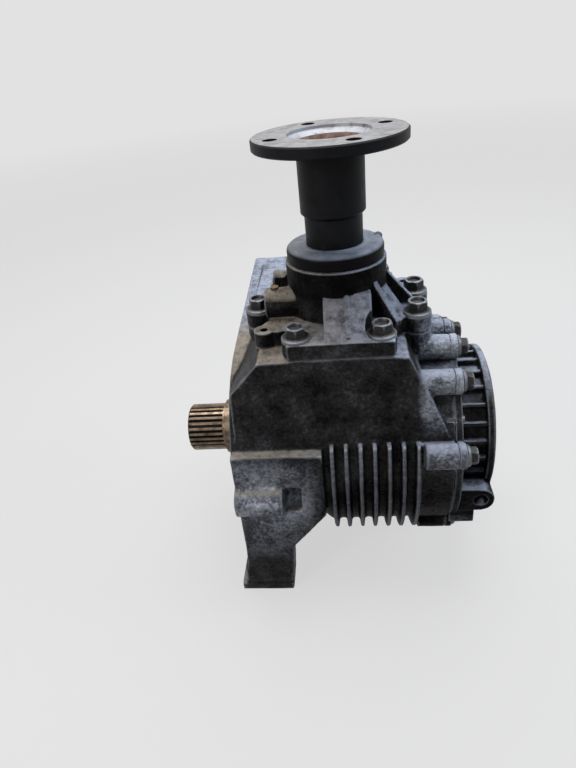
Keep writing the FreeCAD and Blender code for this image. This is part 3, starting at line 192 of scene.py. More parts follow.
def bumped(tree, shader, height, depth_mm, strength=1.0):
    bump = add_node(tree, "ShaderNodeBump", {
        "Height": height, "Distance": depth_mm * MM, "Strength": strength})
    tree.links.new(bump.outputs["Normal"], shader.inputs["Normal"])


# ---------------------------------------------------------------- finishes
def sand_cast_aluminium(colours):
    """Sand-cast aluminium, never machined outside: a pebbled skin, black with old oil on upright walls,
    painted shade on the fins, round the neck and in the creases, paler on the leg and the cover's bosses
    with wear, painted sheen, painted glints and painted edge highlights, and paler where it faces up,
    with dust, painted top light and a bluish painted sheen to the right and rear."""
    material, tree, shader, place = new_material("sand_cast_aluminium")
    normal, edges = surface(tree)
    x, y, z = parts_of(tree, place)
    normal_z = parts_of(tree, normal)[2]
    grain = cloud(tree, place, 2.4, 3.0, 0.65)
    pebbles = cloud(tree, place, 5.0, 4.0, 0.68)
    blotch = cloud(tree, place, 26.0, 6.0, 0.62)
    smear = cloud(tree, place, 16.0, 5.0, 0.6, (1.0, 1.0, 0.35))
    dust = cloud(tree, place, 8.0, 6.0, 0.7)
    speckle = blend(tree, grain, 0.6, pebbles, 0.4)
    patchy = blend(tree, speckle, 0.55, blotch, 0.45)

    # old oil: darker and paler stretches and brown smears that ran down; the pale specks on the grain's
    # peaks are painted glints
    oily = mixed(tree, spread(tree, blotch, 0.38, 0.66), colours.oil, colours.casting)
    smeared = mixed(tree, times(tree, spread(tree, smear, 0.56, 0.72), 0.7), oily, colours.rust_film)
    glint_flecks = spread(tree, blend(tree, speckle, 0.5, blotch, 0.5), 0.54, 0.68, 0.0, 0.6)
    glint_flecked = mixed(tree, glint_flecks, smeared, colours.wear_and_sheen)
    # painted shade: black low down on the fins and round the neck below the dust cover
    fins = times(tree, fade(tree, z, 8, -14, 0.0, 0.85), fade(tree, x, -34, -24))
    neck = times(tree, fade(tree, z, PLATE_TOP + 12, PLATE_TOP + 22),
                 spread(tree, axis_radius(tree, place, "Z"), 54.0, 50.0, 0.0, 0.85))
    grime_and_shade = either(tree, fins, neck)
    shade_painted = mixed(tree, grime_and_shade, glint_flecked, colours.grime_and_shade)

    # wear and painted light: the leg and the cover's outer bosses are paler, partly from wear and partly
    # a painted sheen, with pale painted glints on the grain, and every sharp edge gets a pale painted
    # highlight with its wear
    leg = times(tree, fade(tree, x, -16, -48), fade(tree, z, 34, 14), fade(tree, z, -84, -24))
    bosses = times(tree, fade(tree, x, 56, 62), spread(tree, axis_radius(tree, place, "X"), 86.0, 91.0),
                   fade(tree, z, -70, -40, 0.0, 0.8))
    wear_and_lit_zone = either(tree, leg, bosses)
    rubbed_and_glinting = times(tree, wear_and_lit_zone, spread(tree, patchy, 0.45, 0.62))
    # pale: painted glints speckled over the leg and bosses, and painted highlights on every sharp edge
    shown = either(tree, rubbed_and_glinting, times(tree, spread(tree, edges, 0.515, 0.575), 0.7))
    wear_and_sheen = mixed(tree, times(tree, wear_and_lit_zone, 0.9), shade_painted, colours.wear_and_sheen)
    bared_and_glinting = mixed(tree, shown, wear_and_sheen, colours.bare)

    # dust and painted light: what faces up, and above the joint slopes too since nothing drips there,
    # goes paler, partly dust and partly painted top light; to the right and rear that pale is bluish, a
    # painted sheen
    slopes = fade(tree, z, PLATE_TOP - 14, PLATE_TOP - 10, 0.0, 0.36)
    facing_up = spread(tree, maths(tree, "ADD", normal_z, slopes), 0.72, 0.95)
    dust_and_top_light = times(tree, facing_up, spread(tree, dust, 0.26, 0.56))
    far_side = either(tree, fade(tree, x, -40, 30), fade(tree, y, 10, 50))
    powder_and_sheen = mixed(tree, far_side, colours.dirt, colours.dust)
    dusted_and_lit = mixed(tree, times(tree, dust_and_top_light, 0.8), bared_and_glinting, powder_and_sheen)
    # painted shade: the concave creases go black
    hollows = times(tree, spread(tree, edges, 0.49, 0.43), 0.85)

    feed(tree, shader, {
        "Base Color": mixed(tree, hollows, dusted_and_lit, colours.grime_and_shade),
        "Roughness": maths(tree, "ADD", uneven(tree, blotch, 0.38, 0.55), times(tree, dust_and_top_light, 0.2)),
        "Metallic": spread(tree, shown, 0.0, 1.0, 0.0, 0.6),
        "Specular IOR Level": times(tree, spread(tree, patchy, 0.42, 0.66, 0.04, 0.35),
                                    spread(tree, grime_and_shade, 0.0, 0.8, 1.0, 0.2))})
    bumped(tree, shader, blend(tree, pebbles, 0.5, grain), 1.2)
    return material


def forged_steel(colours):
    """Forged steel under its own black scale, which isn't metallic, wiped with oil."""
    material, tree, shader, place = new_material("oiled_black_forging")
    scale = cloud(tree, place, 14.0, 6.0, 0.65)
    streak = cloud(tree, place, 5.0, 5.0, 0.65, (1.0, 1.0, 0.3))
    skin = mixed(tree, spread(tree, scale, 0.35, 0.7), colours.forging, colours.forging_light)
    feed(tree, shader, {
        "Base Color": mixed(tree, spread(tree, streak, 0.62, 0.78), skin, colours.rust_film),
        "Roughness": uneven(tree, scale, 0.38, 0.55), "Specular IOR Level": 0.1})
    bumped(tree, shader, blend(tree, cloud(tree, place, 1.6, 3.0), 0.5, scale), 0.3, 0.7)
    return material


def turned_face(colours):
    """Faced steel: fine turning rings round the output axis under a grey stain, with bright nicks."""
    material, tree, shader, place = new_material("faced_steel")
    rings = tool_rings(tree, axis_radius(tree, place, "Z"), 0.9)
    stain = cloud(tree, place, 9.0, 6.0, 0.68)
    nicks = cloud(tree, place, 2.2, 4.0, 0.7)
    skin = mixed(tree, spread(tree, stain, 0.38, 0.66), colours.faced, colours.faced_stain)
    feed(tree, shader, {
        "Base Color": mixed(tree, spread(tree, nicks, 0.66, 0.74), skin, colours.bright),
        "Roughness": uneven(tree, stain, 0.34, 0.55), "Metallic": 0.2})
    bumped(tree, shader, blend(tree, rings, 0.25, stain), 0.12, 0.6)
    return material


def bright_recess(colours):
    """The flange's pilot recess: turned steel, pale and satin, with its first specks of rust."""
    material, tree, shader, place = new_material("bright_turned_steel")
    film = cloud(tree, place, 7.0, 5.0, 0.7)
    feed(tree, shader, {
        "Base Color": mixed(tree, spread(tree, film, 0.52, 0.75), colours.bright, colours.rust),
        "Roughness": uneven(tree, film, 0.4, 0.6), "Metallic": 0.25})
    bumped(tree, shader, tool_rings(tree, axis_radius(tree, place, "Z"), 1.3), 0.05, 0.5)
    return material


def rusty_bore(colours):
    """The flange's bore: bare steel with a skin of brown rust, dull and grainy."""
    material, tree, shader, place = new_material("rusted_steel")
    bloom = cloud(tree, place, 5.0, 6.0, 0.7)
    feed(tree, shader, {
        "Base Color": mixed(tree, spread(tree, bloom, 0.35, 0.65), colours.rust, colours.rust_dark),
        "Roughness": uneven(tree, bloom, 0.5, 0.8), "Metallic": 0.35})
    bumped(tree, shader, cloud(tree, place, 1.2, 4.0), 0.3, 0.8)
    return material


def splined_steel(colours):
    """Case-hardened spline steel: bronze-brown crests with their wear, and painted shade, black, in the
    valleys and the bore.
    """
    material, tree, shader, place = new_material("hardened_spline_steel")
    radius = axis_radius(tree, place, "X")
    x = parts_of(tree, place)[0]
    film = cloud(tree, place, 6.0, 6.0, 0.68)
    crest = mixed(tree, spread(tree, film, 0.35, 0.68), colours.spline, colours.spline_stain)
    # painted shade: black in the valleys between the teeth, and less in the bore
    valleys = times(tree, spread(tree, radius, 20.7, 19.9), fade(tree, x, -106, -108))
    bore = times(tree, spread(tree, radius, 17.4, 16.9), 0.7)
    feed(tree, shader, {
        "Base Color": mixed(tree, either(tree, valleys, bore), crest, colours.grime_and_shade),
        "Roughness": uneven(tree, film, 0.28, 0.46), "Metallic": 0.9})
    bumped(tree, shader, blend(tree, tool_rings(tree, x, 0.8 * MM), 0.15, film), 0.1, 0.6)
    return material


def pressed_cover(colours):
    """Pressed and painted steel: satin paint, greasy to the left; pale blue-grey on top as a painted
    highlight, going black down the side as painted shade.
    """
    material, tree, shader, place = new_material("painted_pressing")
    normal_z = parts_of(tree, surface(tree)[0])[2]
    film = cloud(tree, place, 11.0, 6.0, 0.65)
    paint = mixed(tree, spread(tree, film, 0.35, 0.7), colours.cover_paint, colours.cover_paint_and_sheen_dark)
    grease = fade(tree, parts_of(tree, place)[0], 0, -34, 0.0, 0.45)
    greased = mixed(tree, grease, paint, colours.dirt_dark)
    feed(tree, shader, {
        # painted highlight and shade: pale blue-grey where the cover faces up, black down its side
        "Base Color": mixed(tree, spread(tree, normal_z, 0.9, 0.45), greased, colours.forging),
        "Roughness": uneven(tree, film, 0.36, 0.55),
        "Specular IOR Level": spread(tree, normal_z, 0.9, 0.45, 0.3, 0.06)})
    bumped(tree, shader, blend(tree, cloud(tree, place, 1.4, 3.0), 0.4, film), 0.15, 0.5)
    return material


def head_dish(tree, along, facing, top):
    """1 on the floor of the bolt heads' dishes, whose rims all stand at the same place along an axis."""
    below_rim = spread(tree, along, top - 0.5 * MM, top - 0.9 * MM)
    above_washer = spread(tree, along, top - 3.0 * MM, top - 2.6 * MM)
    return times(tree, below_rim, above_washer, spread(tree, facing, 0.3, 0.5))


def bolt_steel(colours):
    """Phosphated bolt steel: charcoal, with pale rims, wear and a painted highlight, and the dish of
    every head black, painted shade.
    """
    material, tree, shader, place = new_material("phosphated_bolt_steel")
    normal, edges = surface(tree)
    film = cloud(tree, place, 3.0, 5.0, 0.68)
    skin = mixed(tree, spread(tree, film, 0.35, 0.7), colours.bolt, colours.bolt_dirt)
    # painted highlight: pale rims on the heads' sharp edges, with their wear
    rubbed_and_glinting = mixed(tree, times(tree, spread(tree, edges, 0.51, 0.60), 0.6), skin, colours.bare)
    place_parts, normal_parts = parts_of(tree, place), parts_of(tree, normal)
    # painted shade: the floor of every head's dish goes black
    dish = either(tree,
                  head_dish(tree, place_parts[2], normal_parts[2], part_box("housing_bolts")[1].z),
                  head_dish(tree, place_parts[0], normal_parts[0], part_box("cover_bolts")[1].x))
    feed(tree, shader, {
        "Base Color": mixed(tree, dish, rubbed_and_glinting, colours.grime_and_shade),
        "Roughness": uneven(tree, film, 0.34, 0.6),
        "Metallic": spread(tree, dish, 0.0, 1.0, 0.7, 0.0)})
    bumped(tree, shader, cloud(tree, place, 1.0, 3.0), 0.15, 0.6)
    return material


def plain_finish(name, main, second, metallic, rough, grain_mm, relief_mm):
    """A finish for pieces that are mostly out of sight: two tones, one grain."""
    material, tree, shader, place = new_material(name)
    film = cloud(tree, place, grain_mm * 6.0, 5.0, 0.62)
    feed(tree, shader, {
        "Base Color": mixed(tree, spread(tree, film, 0.35, 0.7), main, second),
        "Roughness": uneven(tree, film, rough * 0.85, rough * 1.2), "Metallic": metallic})
    bumped(tree, shader, cloud(tree, place, grain_mm, 3.0), relief_mm, 0.5)
    return material


MADE_FINISHES = {
    "casting": sand_cast_aluminium, "forging": forged_steel, "faced": turned_face,
    "recess": bright_recess, "bore": rusty_bore, "spline": splined_steel, "cover": pressed_cover,
    "bolt": bolt_steel,
}
# name, main colour, second colour, metallic, roughness, grain in mm, relief in mm
PLAIN_FINISHES = {
    "gear": ("lapped_gear_steel", "8d8678", "5d564c", 1.0, 0.32, 1.2, 0.05),
    "bearing": ("ground_bearing_steel", "b9bcc0", "90949a", 1.0, 0.16, 1.0, 0.01),
    "steel": ("zinc_washed_steel", "6f7072", "4a4743", 0.9, 0.4, 1.5, 0.06),
    "rubber": ("nitrile_rubber", "101012", "1b1a19", 0.0, 0.6, 1.5, 0.05),
    "brass": ("dull_brass", "6d5a34", "40372a", 0.9, 0.45, 1.5, 0.05),
    "copper": ("dull_copper", "70462f", "3d2a20", 0.9, 0.45, 1.5, 0.05),
}
ready = {}


def finish(name):
    """The material of that finish, made once."""
    if name not in ready:
        if name in MADE_FINISHES:
            ready[name] = MADE_FINISHES[name](bpy.context.scene.transfer_case_colours)
        else:
            ready[name] = plain_finish(*PLAIN_FINISHES[name])
    return ready[name]


# ---------------------------------------------------------------- meshes
def new_piece(name, mesh, finishes):
    """Link a mesh as an object at the origin with its materials."""
    piece = bpy.data.objects.new(name, mesh)
    bpy.context.scene.collection.objects.link(piece)
    for item in finishes:
        mesh.materials.append(finish(item))
    return piece


def baked(piece):
    """Apply the modifiers of a piece and return it with a plain mesh."""
    depsgraph = bpy.context.evaluated_depsgraph_get()
    mesh = bpy.data.meshes.new_from_object(piece.evaluated_get(depsgraph))
    piece.modifiers.clear()
    old = piece.data
    piece.data = mesh
    bpy.data.meshes.remove(old)
    return piece


def smooth_shaded(mesh):
    for polygon in mesh.polygons:
        polygon.use_smooth = True


def lathe(name, profile, finishes, segments):
    """A piece turned about the output axis. The profile's corners are (height, radius, number of the
    finish of the band that starts there), in millimetres."""
    build = bmesh.new()
    rings = []
    for height, radius, _ in profile:
        turns = [2.0 * math.pi * i / segments for i in range(segments)]
        rings.append([build.verts.new([value * MM for value in
                                       (radius * math.cos(turn), radius * math.sin(turn), height)])
                      for turn in turns])
    for band, first in enumerate(rings):
        second = rings[(band + 1) % len(rings)]
        for i in range(segments):
            j = (i + 1) % segments
            face = build.faces.new((first[i], first[j], second[j], second[i]))
            face.material_index = profile[band][2]
    bmesh.ops.recalc_face_normals(build, faces=build.faces)
    mesh = bpy.data.meshes.new(name)
    build.to_mesh(mesh)
    build.free()
    piece = new_piece(name, mesh, finishes)
    smooth_shaded(mesh)
    return piece


def edge_bevel(piece, width_mm, angle):
    """Break the edges sharper than angle, in degrees, and keep the flats between them flat."""
    bevel = piece.modifiers.new("edge", "BEVEL")
    bevel.width = width_mm * MM
    bevel.segments = 2
    bevel.limit_method = "ANGLE"
    bevel.angle_limit = math.radians(angle)
    piece.modifiers.new("flats", "WEIGHTED_NORMAL")


WELD = 0.004 * MM
SKIN_PASSES = 4
LONG_WAVE, SHORT_WAVE = 45.0, 130.0


def cast_skin(node_name, cell_mm, wave_mm, most):
    """A casting's surface: the CAD solid with every edge and corner rounded as a mould leaves it.

    The solid is rebuilt from small cells, its steps are smoothed away, a slow uneven wave is added
    and flat stretches are thinned to most triangles, so that the cells that are left lie where the
    shape turns.
    """
    mesh = NODES[node_name].data.copy()
    mesh.materials.clear()
    merge = bmesh.new()
    merge.from_mesh(mesh)
    bmesh.ops.remove_doubles(merge, verts=merge.verts, dist=WELD)
    merge.to_mesh(mesh)
    merge.free()
    piece = new_piece(node_name + "_skin", mesh, ["casting"])
    remesh = piece.modifiers.new("cells", "REMESH")
    remesh.mode = "VOXEL"
    remesh.voxel_size = cell_mm * MM
    remesh.use_smooth_shade = True
    soften = piece.modifiers.new("soften", "SMOOTH")
    soften.factor = 0.5
    soften.iterations = SKIN_PASSES
    baked(piece)
    mesh = piece.data
    shifts = []
    for vertex in mesh.vertices:
        swell = noise.noise(vertex.co * LONG_WAVE) + 0.5 * noise.noise(vertex.co * SHORT_WAVE)
        shifts.append(vertex.co + vertex.normal * (swell * wave_mm * MM - 0.05 * MM))
    for vertex, shifted in zip(mesh.vertices, shifts):
        vertex.co = shifted
    triangles = len(mesh.polygons) * 2
    if triangles > most:
        thin = piece.modifiers.new("thin", "DECIMATE")
        thin.ratio = most / triangles
        baked(piece)
    smooth_shaded(piece.data)
    piece.data.materials.clear()
    piece.data.materials.append(finish("casting"))
    return piece


def stand_for(piece, body, slot, *nodes):
    """Hand a finished piece to the frame: what it rides on and what it replaces. The slot is not used."""
    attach(piece, body)
    if nodes:
        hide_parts(*nodes)


# ---------------------------------------------------------------- settings
class TransferCaseSizes(bpy.types.PropertyGroup):
    """Sizes that a user would change, in millimetres."""
    case_cell: bpy.props.FloatProperty(
        name="Case cell", description="Cell of the case's rounded skin, in mm", default=1.15, min=0.6)
    small_cell: bpy.props.FloatProperty(
        name="Small casting cell", description="Cell of the smaller castings' skin, in mm",
        default=0.85, min=0.5)
    hex_flats: bpy.props.FloatProperty(
        name="Bolt flats", description="Across the flats of the output housing's bolts, in mm",
        default=14.0)
    bolt_flange: bpy.props.FloatProperty(
        name="Bolt flange", description="Diameter of those bolts' own washer, in mm", default=21.6)
    bolt_height: bpy.props.FloatProperty(
        name="Bolt height", description="Height of those bolts' heads, in mm", default=BOLT_HEAD)
    random_seed: bpy.props.IntProperty(
        name="Seed", description="Seed of the bolts' chance turns", default=4)


class TransferCaseColours(bpy.types.PropertyGroup):
    """sRGB colours, as hex text."""
    casting: bpy.props.StringProperty(name="Casting", description="Oily aluminium", default="1d1d1f")
    oil: bpy.props.StringProperty(name="Oil", description="Aluminium under old oil", default="0b0b0c")
    # black painted shade: under the case, round the neck, in creases, in the spline's valleys and bore
    # and in the bolts' dishes, with some grime
    grime_and_shade: bpy.props.StringProperty(name="Soot", description="Black in the hollows", default="090909")
    # also the pale of the painted glint specks, and partly a painted sheen on the leg and bosses
    wear_and_sheen: bpy.props.StringProperty(name="Worn", description="Dull rubbed aluminium", default="565963")
    # pale for the painted glints and edge highlights, and for bare metal on the edges
    bare: bpy.props.StringProperty(name="Bare", description="Rubbed edges", default="a9b0ba")
    dirt: bpy.props.StringProperty(name="Dirt", description="Settled road dirt", default="8f877c")
    dirt_dark: bpy.props.StringProperty(name="Dark dirt", description="Greasy dirt", default="4c463f")
    # bluish painted sheen on what faces up to the right and rear, over the dust
    dust: bpy.props.StringProperty(name="Dust", description="Bluish dust, right and rear",
                                   default="8f97a8")
    rust_film: bpy.props.StringProperty(name="Film", description="Brown smears", default="2e2722")
    forging: bpy.props.StringProperty(name="Forging", description="Black forging", default="0a0a0c")
    forging_light: bpy.props.StringProperty(name="Forging light", description="Its paler patches",
                                            default="17191d")
    faced: bpy.props.StringProperty(name="Faced", description="Faced steel", default="737478")
    faced_stain: bpy.props.StringProperty(name="Faced stain", description="Its stain", default="4d4a46")
    bright: bpy.props.StringProperty(name="Bright", description="Turned recess", default="8b8f96")
    rust: bpy.props.StringProperty(name="Rust", description="Rust", default="5a3a28")
    rust_dark: bpy.props.StringProperty(name="Dark rust", description="Old rust", default="2a1a13")
    spline: bpy.props.StringProperty(name="Spline", description="Spline crests", default="7f6f5e")
    spline_stain: bpy.props.StringProperty(name="Spline stain", description="Their stain",
                                           default="3b322b")
    # paint with a painted highlight: the pale blue-grey of the cover's top
    cover_paint: bpy.props.StringProperty(name="Cover", description="Dust cover paint",
                                          default="8f98a8")
    cover_paint_and_sheen_dark: bpy.props.StringProperty(name="Cover dark", description="Its dull patches",
                                               default="636b79")
    bolt: bpy.props.StringProperty(name="Bolt", description="Phosphated bolts", default="1e1f22")
    bolt_dirt: bpy.props.StringProperty(name="Bolt dirt", description="Dirt on bolts", default="34302c")


# ---------------------------------------------------------------- castings
class TC_OT_castings(bpy.types.Operator):
    """Round the edges of the three castings and give them their sand-cast finish"""
    bl_idname = "transfer_case.castings"
    bl_label = "Castings"

    def execute(self, context):
        sizes = context.scene.transfer_case_sizes
        coarser = 1.0
        for node_name, cell, wave, most in (("main_case", sizes.case_cell, 0.30, 190000),
                                            ("output_housing", sizes.small_cell, 0.22, 150000),
                                            ("end_cover", sizes.small_cell, 0.22, 150000)):
            skin = cast_skin(node_name, cell * coarser, wave, most)
            stand_for(skin, "case", "cast_aluminium", node_name)
        return {"FINISHED"}


# ---------------------------------------------------------------- companion flange
HOLE_COUNT = 4
HOLE_START = 22.0
HOLE_CIRCLE = 42.7
HOLE_RADIUS = 5.25


class TC_OT_companion_flange(bpy.types.Operator):
    """Turn the companion flange: black forged stem, faced top, bright recess and rusty bore"""
    bl_idname = "transfer_case.companion_flange"
    bl_label = "Companion flange"

    def execute(self, context):
        low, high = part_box("companion_flange")
        top, bottom = high.z / MM, low.z / MM
        disc, thick, stem, neck, spigot = 55.0, 8.0, 24.1, 21.5, 20.0
        neck_low, neck_high, nut_seat, bore, spline_bore = 161.0, 190.0, 201.0, 18.5, 14.0
        black, faced, recess, rusty = range(4)
        profile = [
            (bottom, spline_bore, black), (bottom, spigot, black), (neck_low, spigot, black),
            (neck_low, neck, black), (neck_high, neck, black), (neck_high + 2.6, stem, black),
            (top - thick - 5.0, stem, black), (top - thick - 1.6, stem + 1.3, black),
            (top - thick, stem + 5.0, black), (top - thick, disc - 1.0, black),
            (top - thick + 1.0, disc, black), (top - 1.0, disc, black), (top, disc - 1.0, faced),
            (top, 29.5, recess), (top - 2.0, 29.2, recess), (top - 5.0, 24.0, rusty),
            (top - 9.0, bore + 1.5, rusty), (top - 12.0, bore, rusty), (nut_seat, bore, rusty),
            (nut_seat, spline_bore, rusty)]
        piece = lathe("companion_flange_turned", profile, ["forging", "faced", "recess", "bore"], 160)
        tools = []
        for i in range(HOLE_COUNT):
            turn = math.radians(HOLE_START + 360.0 / HOLE_COUNT * i)
            drill = bmesh.new()
            bmesh.ops.create_cone(drill, cap_ends=True, segments=40, radius1=HOLE_RADIUS * MM,
                                  radius2=HOLE_RADIUS * MM, depth=3.0 * thick * MM)
            place = Vector((HOLE_CIRCLE * math.cos(turn), HOLE_CIRCLE * math.sin(turn),
                            top - thick / 2.0)) * MM
            bmesh.ops.translate(drill, verts=drill.verts, vec=place)
            mesh = bpy.data.meshes.new("drill")
            drill.to_mesh(mesh)
            drill.free()
            tool = bpy.data.objects.new("drill", mesh)
            context.scene.collection.objects.link(tool)
            tools.append(tool)
            cutter = piece.modifiers.new("hole", "BOOLEAN")
            cutter.operation = "DIFFERENCE"
            cutter.solver = "EXACT"
            cutter.object = tool
        edge_bevel(piece, 0.45, 35.0)
        baked(piece)
        for tool in tools:
            bpy.data.objects.remove(tool)
        stand_for(piece, "pinion", "dark_steel", "companion_flange")
        return {"FINISHED"}


# ---------------------------------------------------------------- dust cover
BURR_TURN = math.radians(18.0)
BURR_SPREAD = math.radians(5.0)
BURR_HEIGHT = 2.4
BURR_OUT = 1.2


class TC_OT_dust_cover(bpy.types.Operator):
    """Press the dust cover, with its rolled shoulder and the burr left on its edge"""
    bl_idname = "transfer_case.dust_cover"
    bl_label = "Dust cover"

    def execute(self, context):
        low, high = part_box("dust_cover")
        top, under, outer = high.z / MM, low.z / MM, high.x / MM
        stem, sheet, shoulder, steps = 21.5, 2.5, 4.2, 7
        profile = [(top, stem, 0), (top, stem + sheet, 0), (top - 0.5, stem + sheet + 0.8, 0),
                   (top - 0.5, 31.5, 0)]
        for i in range(steps + 1):
            turn = math.radians(90.0 * i / steps)
            profile.append((top - 4.0 + 3.5 * math.cos(turn),
                            outer - shoulder + shoulder * math.sin(turn), 0))
        profile += [(under + 0.8, outer, 0), (under, outer - 0.5, 0), (under, outer - sheet, 0),
                    (top - 4.5, outer - sheet, 0), (top - sheet, outer - 2.0 * sheet, 0),
                    (top - sheet, stem, 0)]
        piece = lathe("dust_cover_pressed", profile, ["cover"], 144)
        burr = Vector((math.cos(BURR_TURN), math.sin(BURR_TURN)))
        for vertex in piece.data.vertices:
            flat = Vector((vertex.co.x, vertex.co.y))
            near = max(0.0, 1.0 - flat.angle(burr) / BURR_SPREAD)
            if near > 0.0 and flat.length > (outer - 5.0) * MM and vertex.co.z > (top - 5.0) * MM:
                vertex.co.z += BURR_HEIGHT * near * MM
                vertex.co.xy += burr * BURR_OUT * near * MM
        edge_bevel(piece, 0.3, 30.0)
        baked(piece)
        stand_for(piece, "pinion", "cover_paint", "dust_cover")
        return {"FINISHED"}


# ---------------------------------------------------------------- bolts
COVER_BOLT_FLATS = 12.0
COVER_BOLT_FLANGE = 17.0
HOUSING_SHANK, COVER_SHANK = 5.0, 4.0
HOUSING_DISH, COVER_DISH = 2.2, 1.6
BOLT_SIDES = 72


def hex_head(name, flats, washer, height, shank, reach, dish):
    """A flanged hexagon head on its shank, seated at z = 0, with a dished top; in millimetres."""
    half = flats / 2.0

    def hexagon(turn):
        return half / math.cos((turn + math.pi / 6.0) % (math.pi / 3.0) - math.pi / 6.0)

    rings = [
        (-reach, lambda t: shank * 0.8), (-reach + 1.2, lambda t: shank), (0.0, lambda t: shank),
        (0.0, lambda t: washer / 2.0 - 0.3), (0.4, lambda t: washer / 2.0),
        (1.5, lambda t: washer / 2.0 - 0.2), (2.6, lambda t: max(hexagon(t), half + 1.6)),
        (3.0, hexagon), (height - 1.3, hexagon), (height - 0.5, lambda t: min(hexagon(t), half + 0.35)),
        (height, lambda t: min(hexagon(t), half - 0.4)), (height, lambda t: half - 1.5),
        (height - 0.6, lambda t: half - 2.0), (height - dish, lambda t: half - 2.6),
        (height - dish - 0.2, lambda t: 0.6)]
    build = bmesh.new()
    turns = [2.0 * math.pi * i / BOLT_SIDES for i in range(BOLT_SIDES)]
    loops = [[build.verts.new((radius(turn) * math.cos(turn) * MM, radius(turn) * math.sin(turn) * MM,
                               z * MM)) for turn in turns] for z, radius in rings]
    for first, second in zip(loops, loops[1:]):
        for i in range(BOLT_SIDES):
            j = (i + 1) % BOLT_SIDES
            build.faces.new((first[i], first[j], second[j], second[i]))
    build.faces.new(list(reversed(loops[0])))
    build.faces.new(loops[-1])
    bmesh.ops.recalc_face_normals(build, faces=build.faces)
    mesh = bpy.data.meshes.new(name)
    build.to_mesh(mesh)
    build.free()
    return mesh


def scatter_tree(name):
    """Geometry nodes that stand one fastener on every point, each with its own chance turn."""
    tree = bpy.data.node_groups.new(name, "GeometryNodeTree")
    for socket, kind in (("Geometry", "Geometry"), ("Fastener", "Object"), ("Lean", "Vector"),
                         ("Seed", "Int"), ("Finish", "Material")):
        tree.interface.new_socket(socket, in_out="INPUT", socket_type="NodeSocket" + kind)
    tree.interface.new_socket("Geometry", in_out="OUTPUT", socket_type="NodeSocketGeometry")
    start = add_node(tree, "NodeGroupInput").outputs
    item = add_node(tree, "GeometryNodeObjectInfo", {"Object": start["Fastener"]}).outputs["Geometry"]
    spin = add_node(tree, "FunctionNodeRandomValue", {2: 0.0, 3: 2.0 * math.pi, "Seed": start["Seed"]},
                    data_type="FLOAT").outputs[1]
    turn = add_node(tree, "ShaderNodeCombineXYZ", {"Z": spin}).outputs[0]
    placed = add_node(tree, "GeometryNodeInstanceOnPoints", {
        "Points": start["Geometry"], "Instance": item, "Rotation": start["Lean"]}).outputs[0]
    turned = add_node(tree, "GeometryNodeRotateInstances", {
        "Instances": placed, "Rotation": turn}).outputs[0]
    real = add_node(tree, "GeometryNodeRealizeInstances", {"Geometry": turned}).outputs[0]
    named = add_node(tree, "GeometryNodeSetMaterial", {"Geometry": real, "Material": start["Finish"]})
    add_node(tree, "NodeGroupOutput", {"Geometry": named.outputs[0]})
    return tree


def scatter(name, mesh, points, lean, seed):
    """A plain mesh of one fastener at every point, in millimetres."""
    fastener = bpy.data.objects.new(name + "_one", mesh)
    cloud_mesh = bpy.data.meshes.new(name)
    cloud_mesh.from_pydata([[value * MM for value in point] for point in points], [], [])
    piece = new_piece(name, cloud_mesh, ["bolt"])
    nodes = piece.modifiers.new("fasteners", "NODES")
    nodes.node_group = scatter_tree(name + "_tree")
    values = {"Fastener": fastener, "Lean": lean, "Seed": seed, "Finish": finish("bolt")}
    for socket in nodes.node_group.interface.items_tree:
        if socket.in_out == "INPUT" and socket.name in values:
            nodes[socket.identifier] = values[socket.name]
    baked(piece)
    smooth_shaded(piece.data)
    piece.data.set_sharp_from_angle(angle=math.radians(38.0))
    bpy.data.objects.remove(fastener)
    return piece


def solid_centres(node_name):
    """The low and high corners of each separate solid of a node, in millimetres.

    They come sorted by place, so that each fastener gets the same chance turn at every run.
    """
    build = bmesh.new()
    build.from_mesh(NODES[node_name].data)
    bmesh.ops.remove_doubles(build, verts=build.verts, dist=0.002 * MM)
    left = set(build.verts)
    boxes = []
    while left:
        stack = [left.pop()]
        low, high = stack[0].co.copy(), stack[0].co.copy()
        while stack:
            vertex = stack.pop()
            low = Vector(map(min, low, vertex.co))
            high = Vector(map(max, high, vertex.co))
            for edge in vertex.link_edges:
                other = edge.other_vert(vertex)
                if other in left:
                    left.remove(other)
                    stack.append(other)
        boxes.append((low / MM, high / MM))
    build.free()
    return sorted(boxes, key=lambda box: [round(value, 1) for value in box[0]])


class TC_OT_bolts(bpy.types.Operator):
    """Stand a flanged hexagon bolt on every seat of the output housing and the end cover"""
    bl_idname = "transfer_case.bolts"
    bl_label = "Bolts"

    def execute(self, context):
        sizes = context.scene.transfer_case_sizes
        boxes = solid_centres("housing_bolts")
        seat = boxes[0][1].z - BOLT_HEAD
        points = [((low.x + high.x) / 2, (low.y + high.y) / 2, seat) for low, high in boxes]
        head = hex_head("housing_bolt", sizes.hex_flats, sizes.bolt_flange, sizes.bolt_height,
                        HOUSING_SHANK, seat - boxes[0][0].z, HOUSING_DISH)
        piece = scatter("housing_bolts_dressed", head, points, (0.0, 0.0, 0.0), sizes.random_seed)
        stand_for(piece, "case", "dark_steel", "housing_bolts")
        boxes = solid_centres("cover_bolts")
        seat = boxes[0][1].x - COVER_BOLT_HEAD
        points = [(seat, (low.y + high.y) / 2, (low.z + high.z) / 2) for low, high in boxes]
        head = hex_head("cover_bolt", COVER_BOLT_FLATS, COVER_BOLT_FLANGE, COVER_BOLT_HEAD,
                        COVER_SHANK, seat - boxes[0][0].x, COVER_DISH)
        piece = scatter("cover_bolts_dressed", head, points, (0.0, math.pi / 2.0, 0.0),
                        sizes.random_seed + 1)
        stand_for(piece, "case", "dark_steel", "cover_bolts")
        return {"FINISHED"}


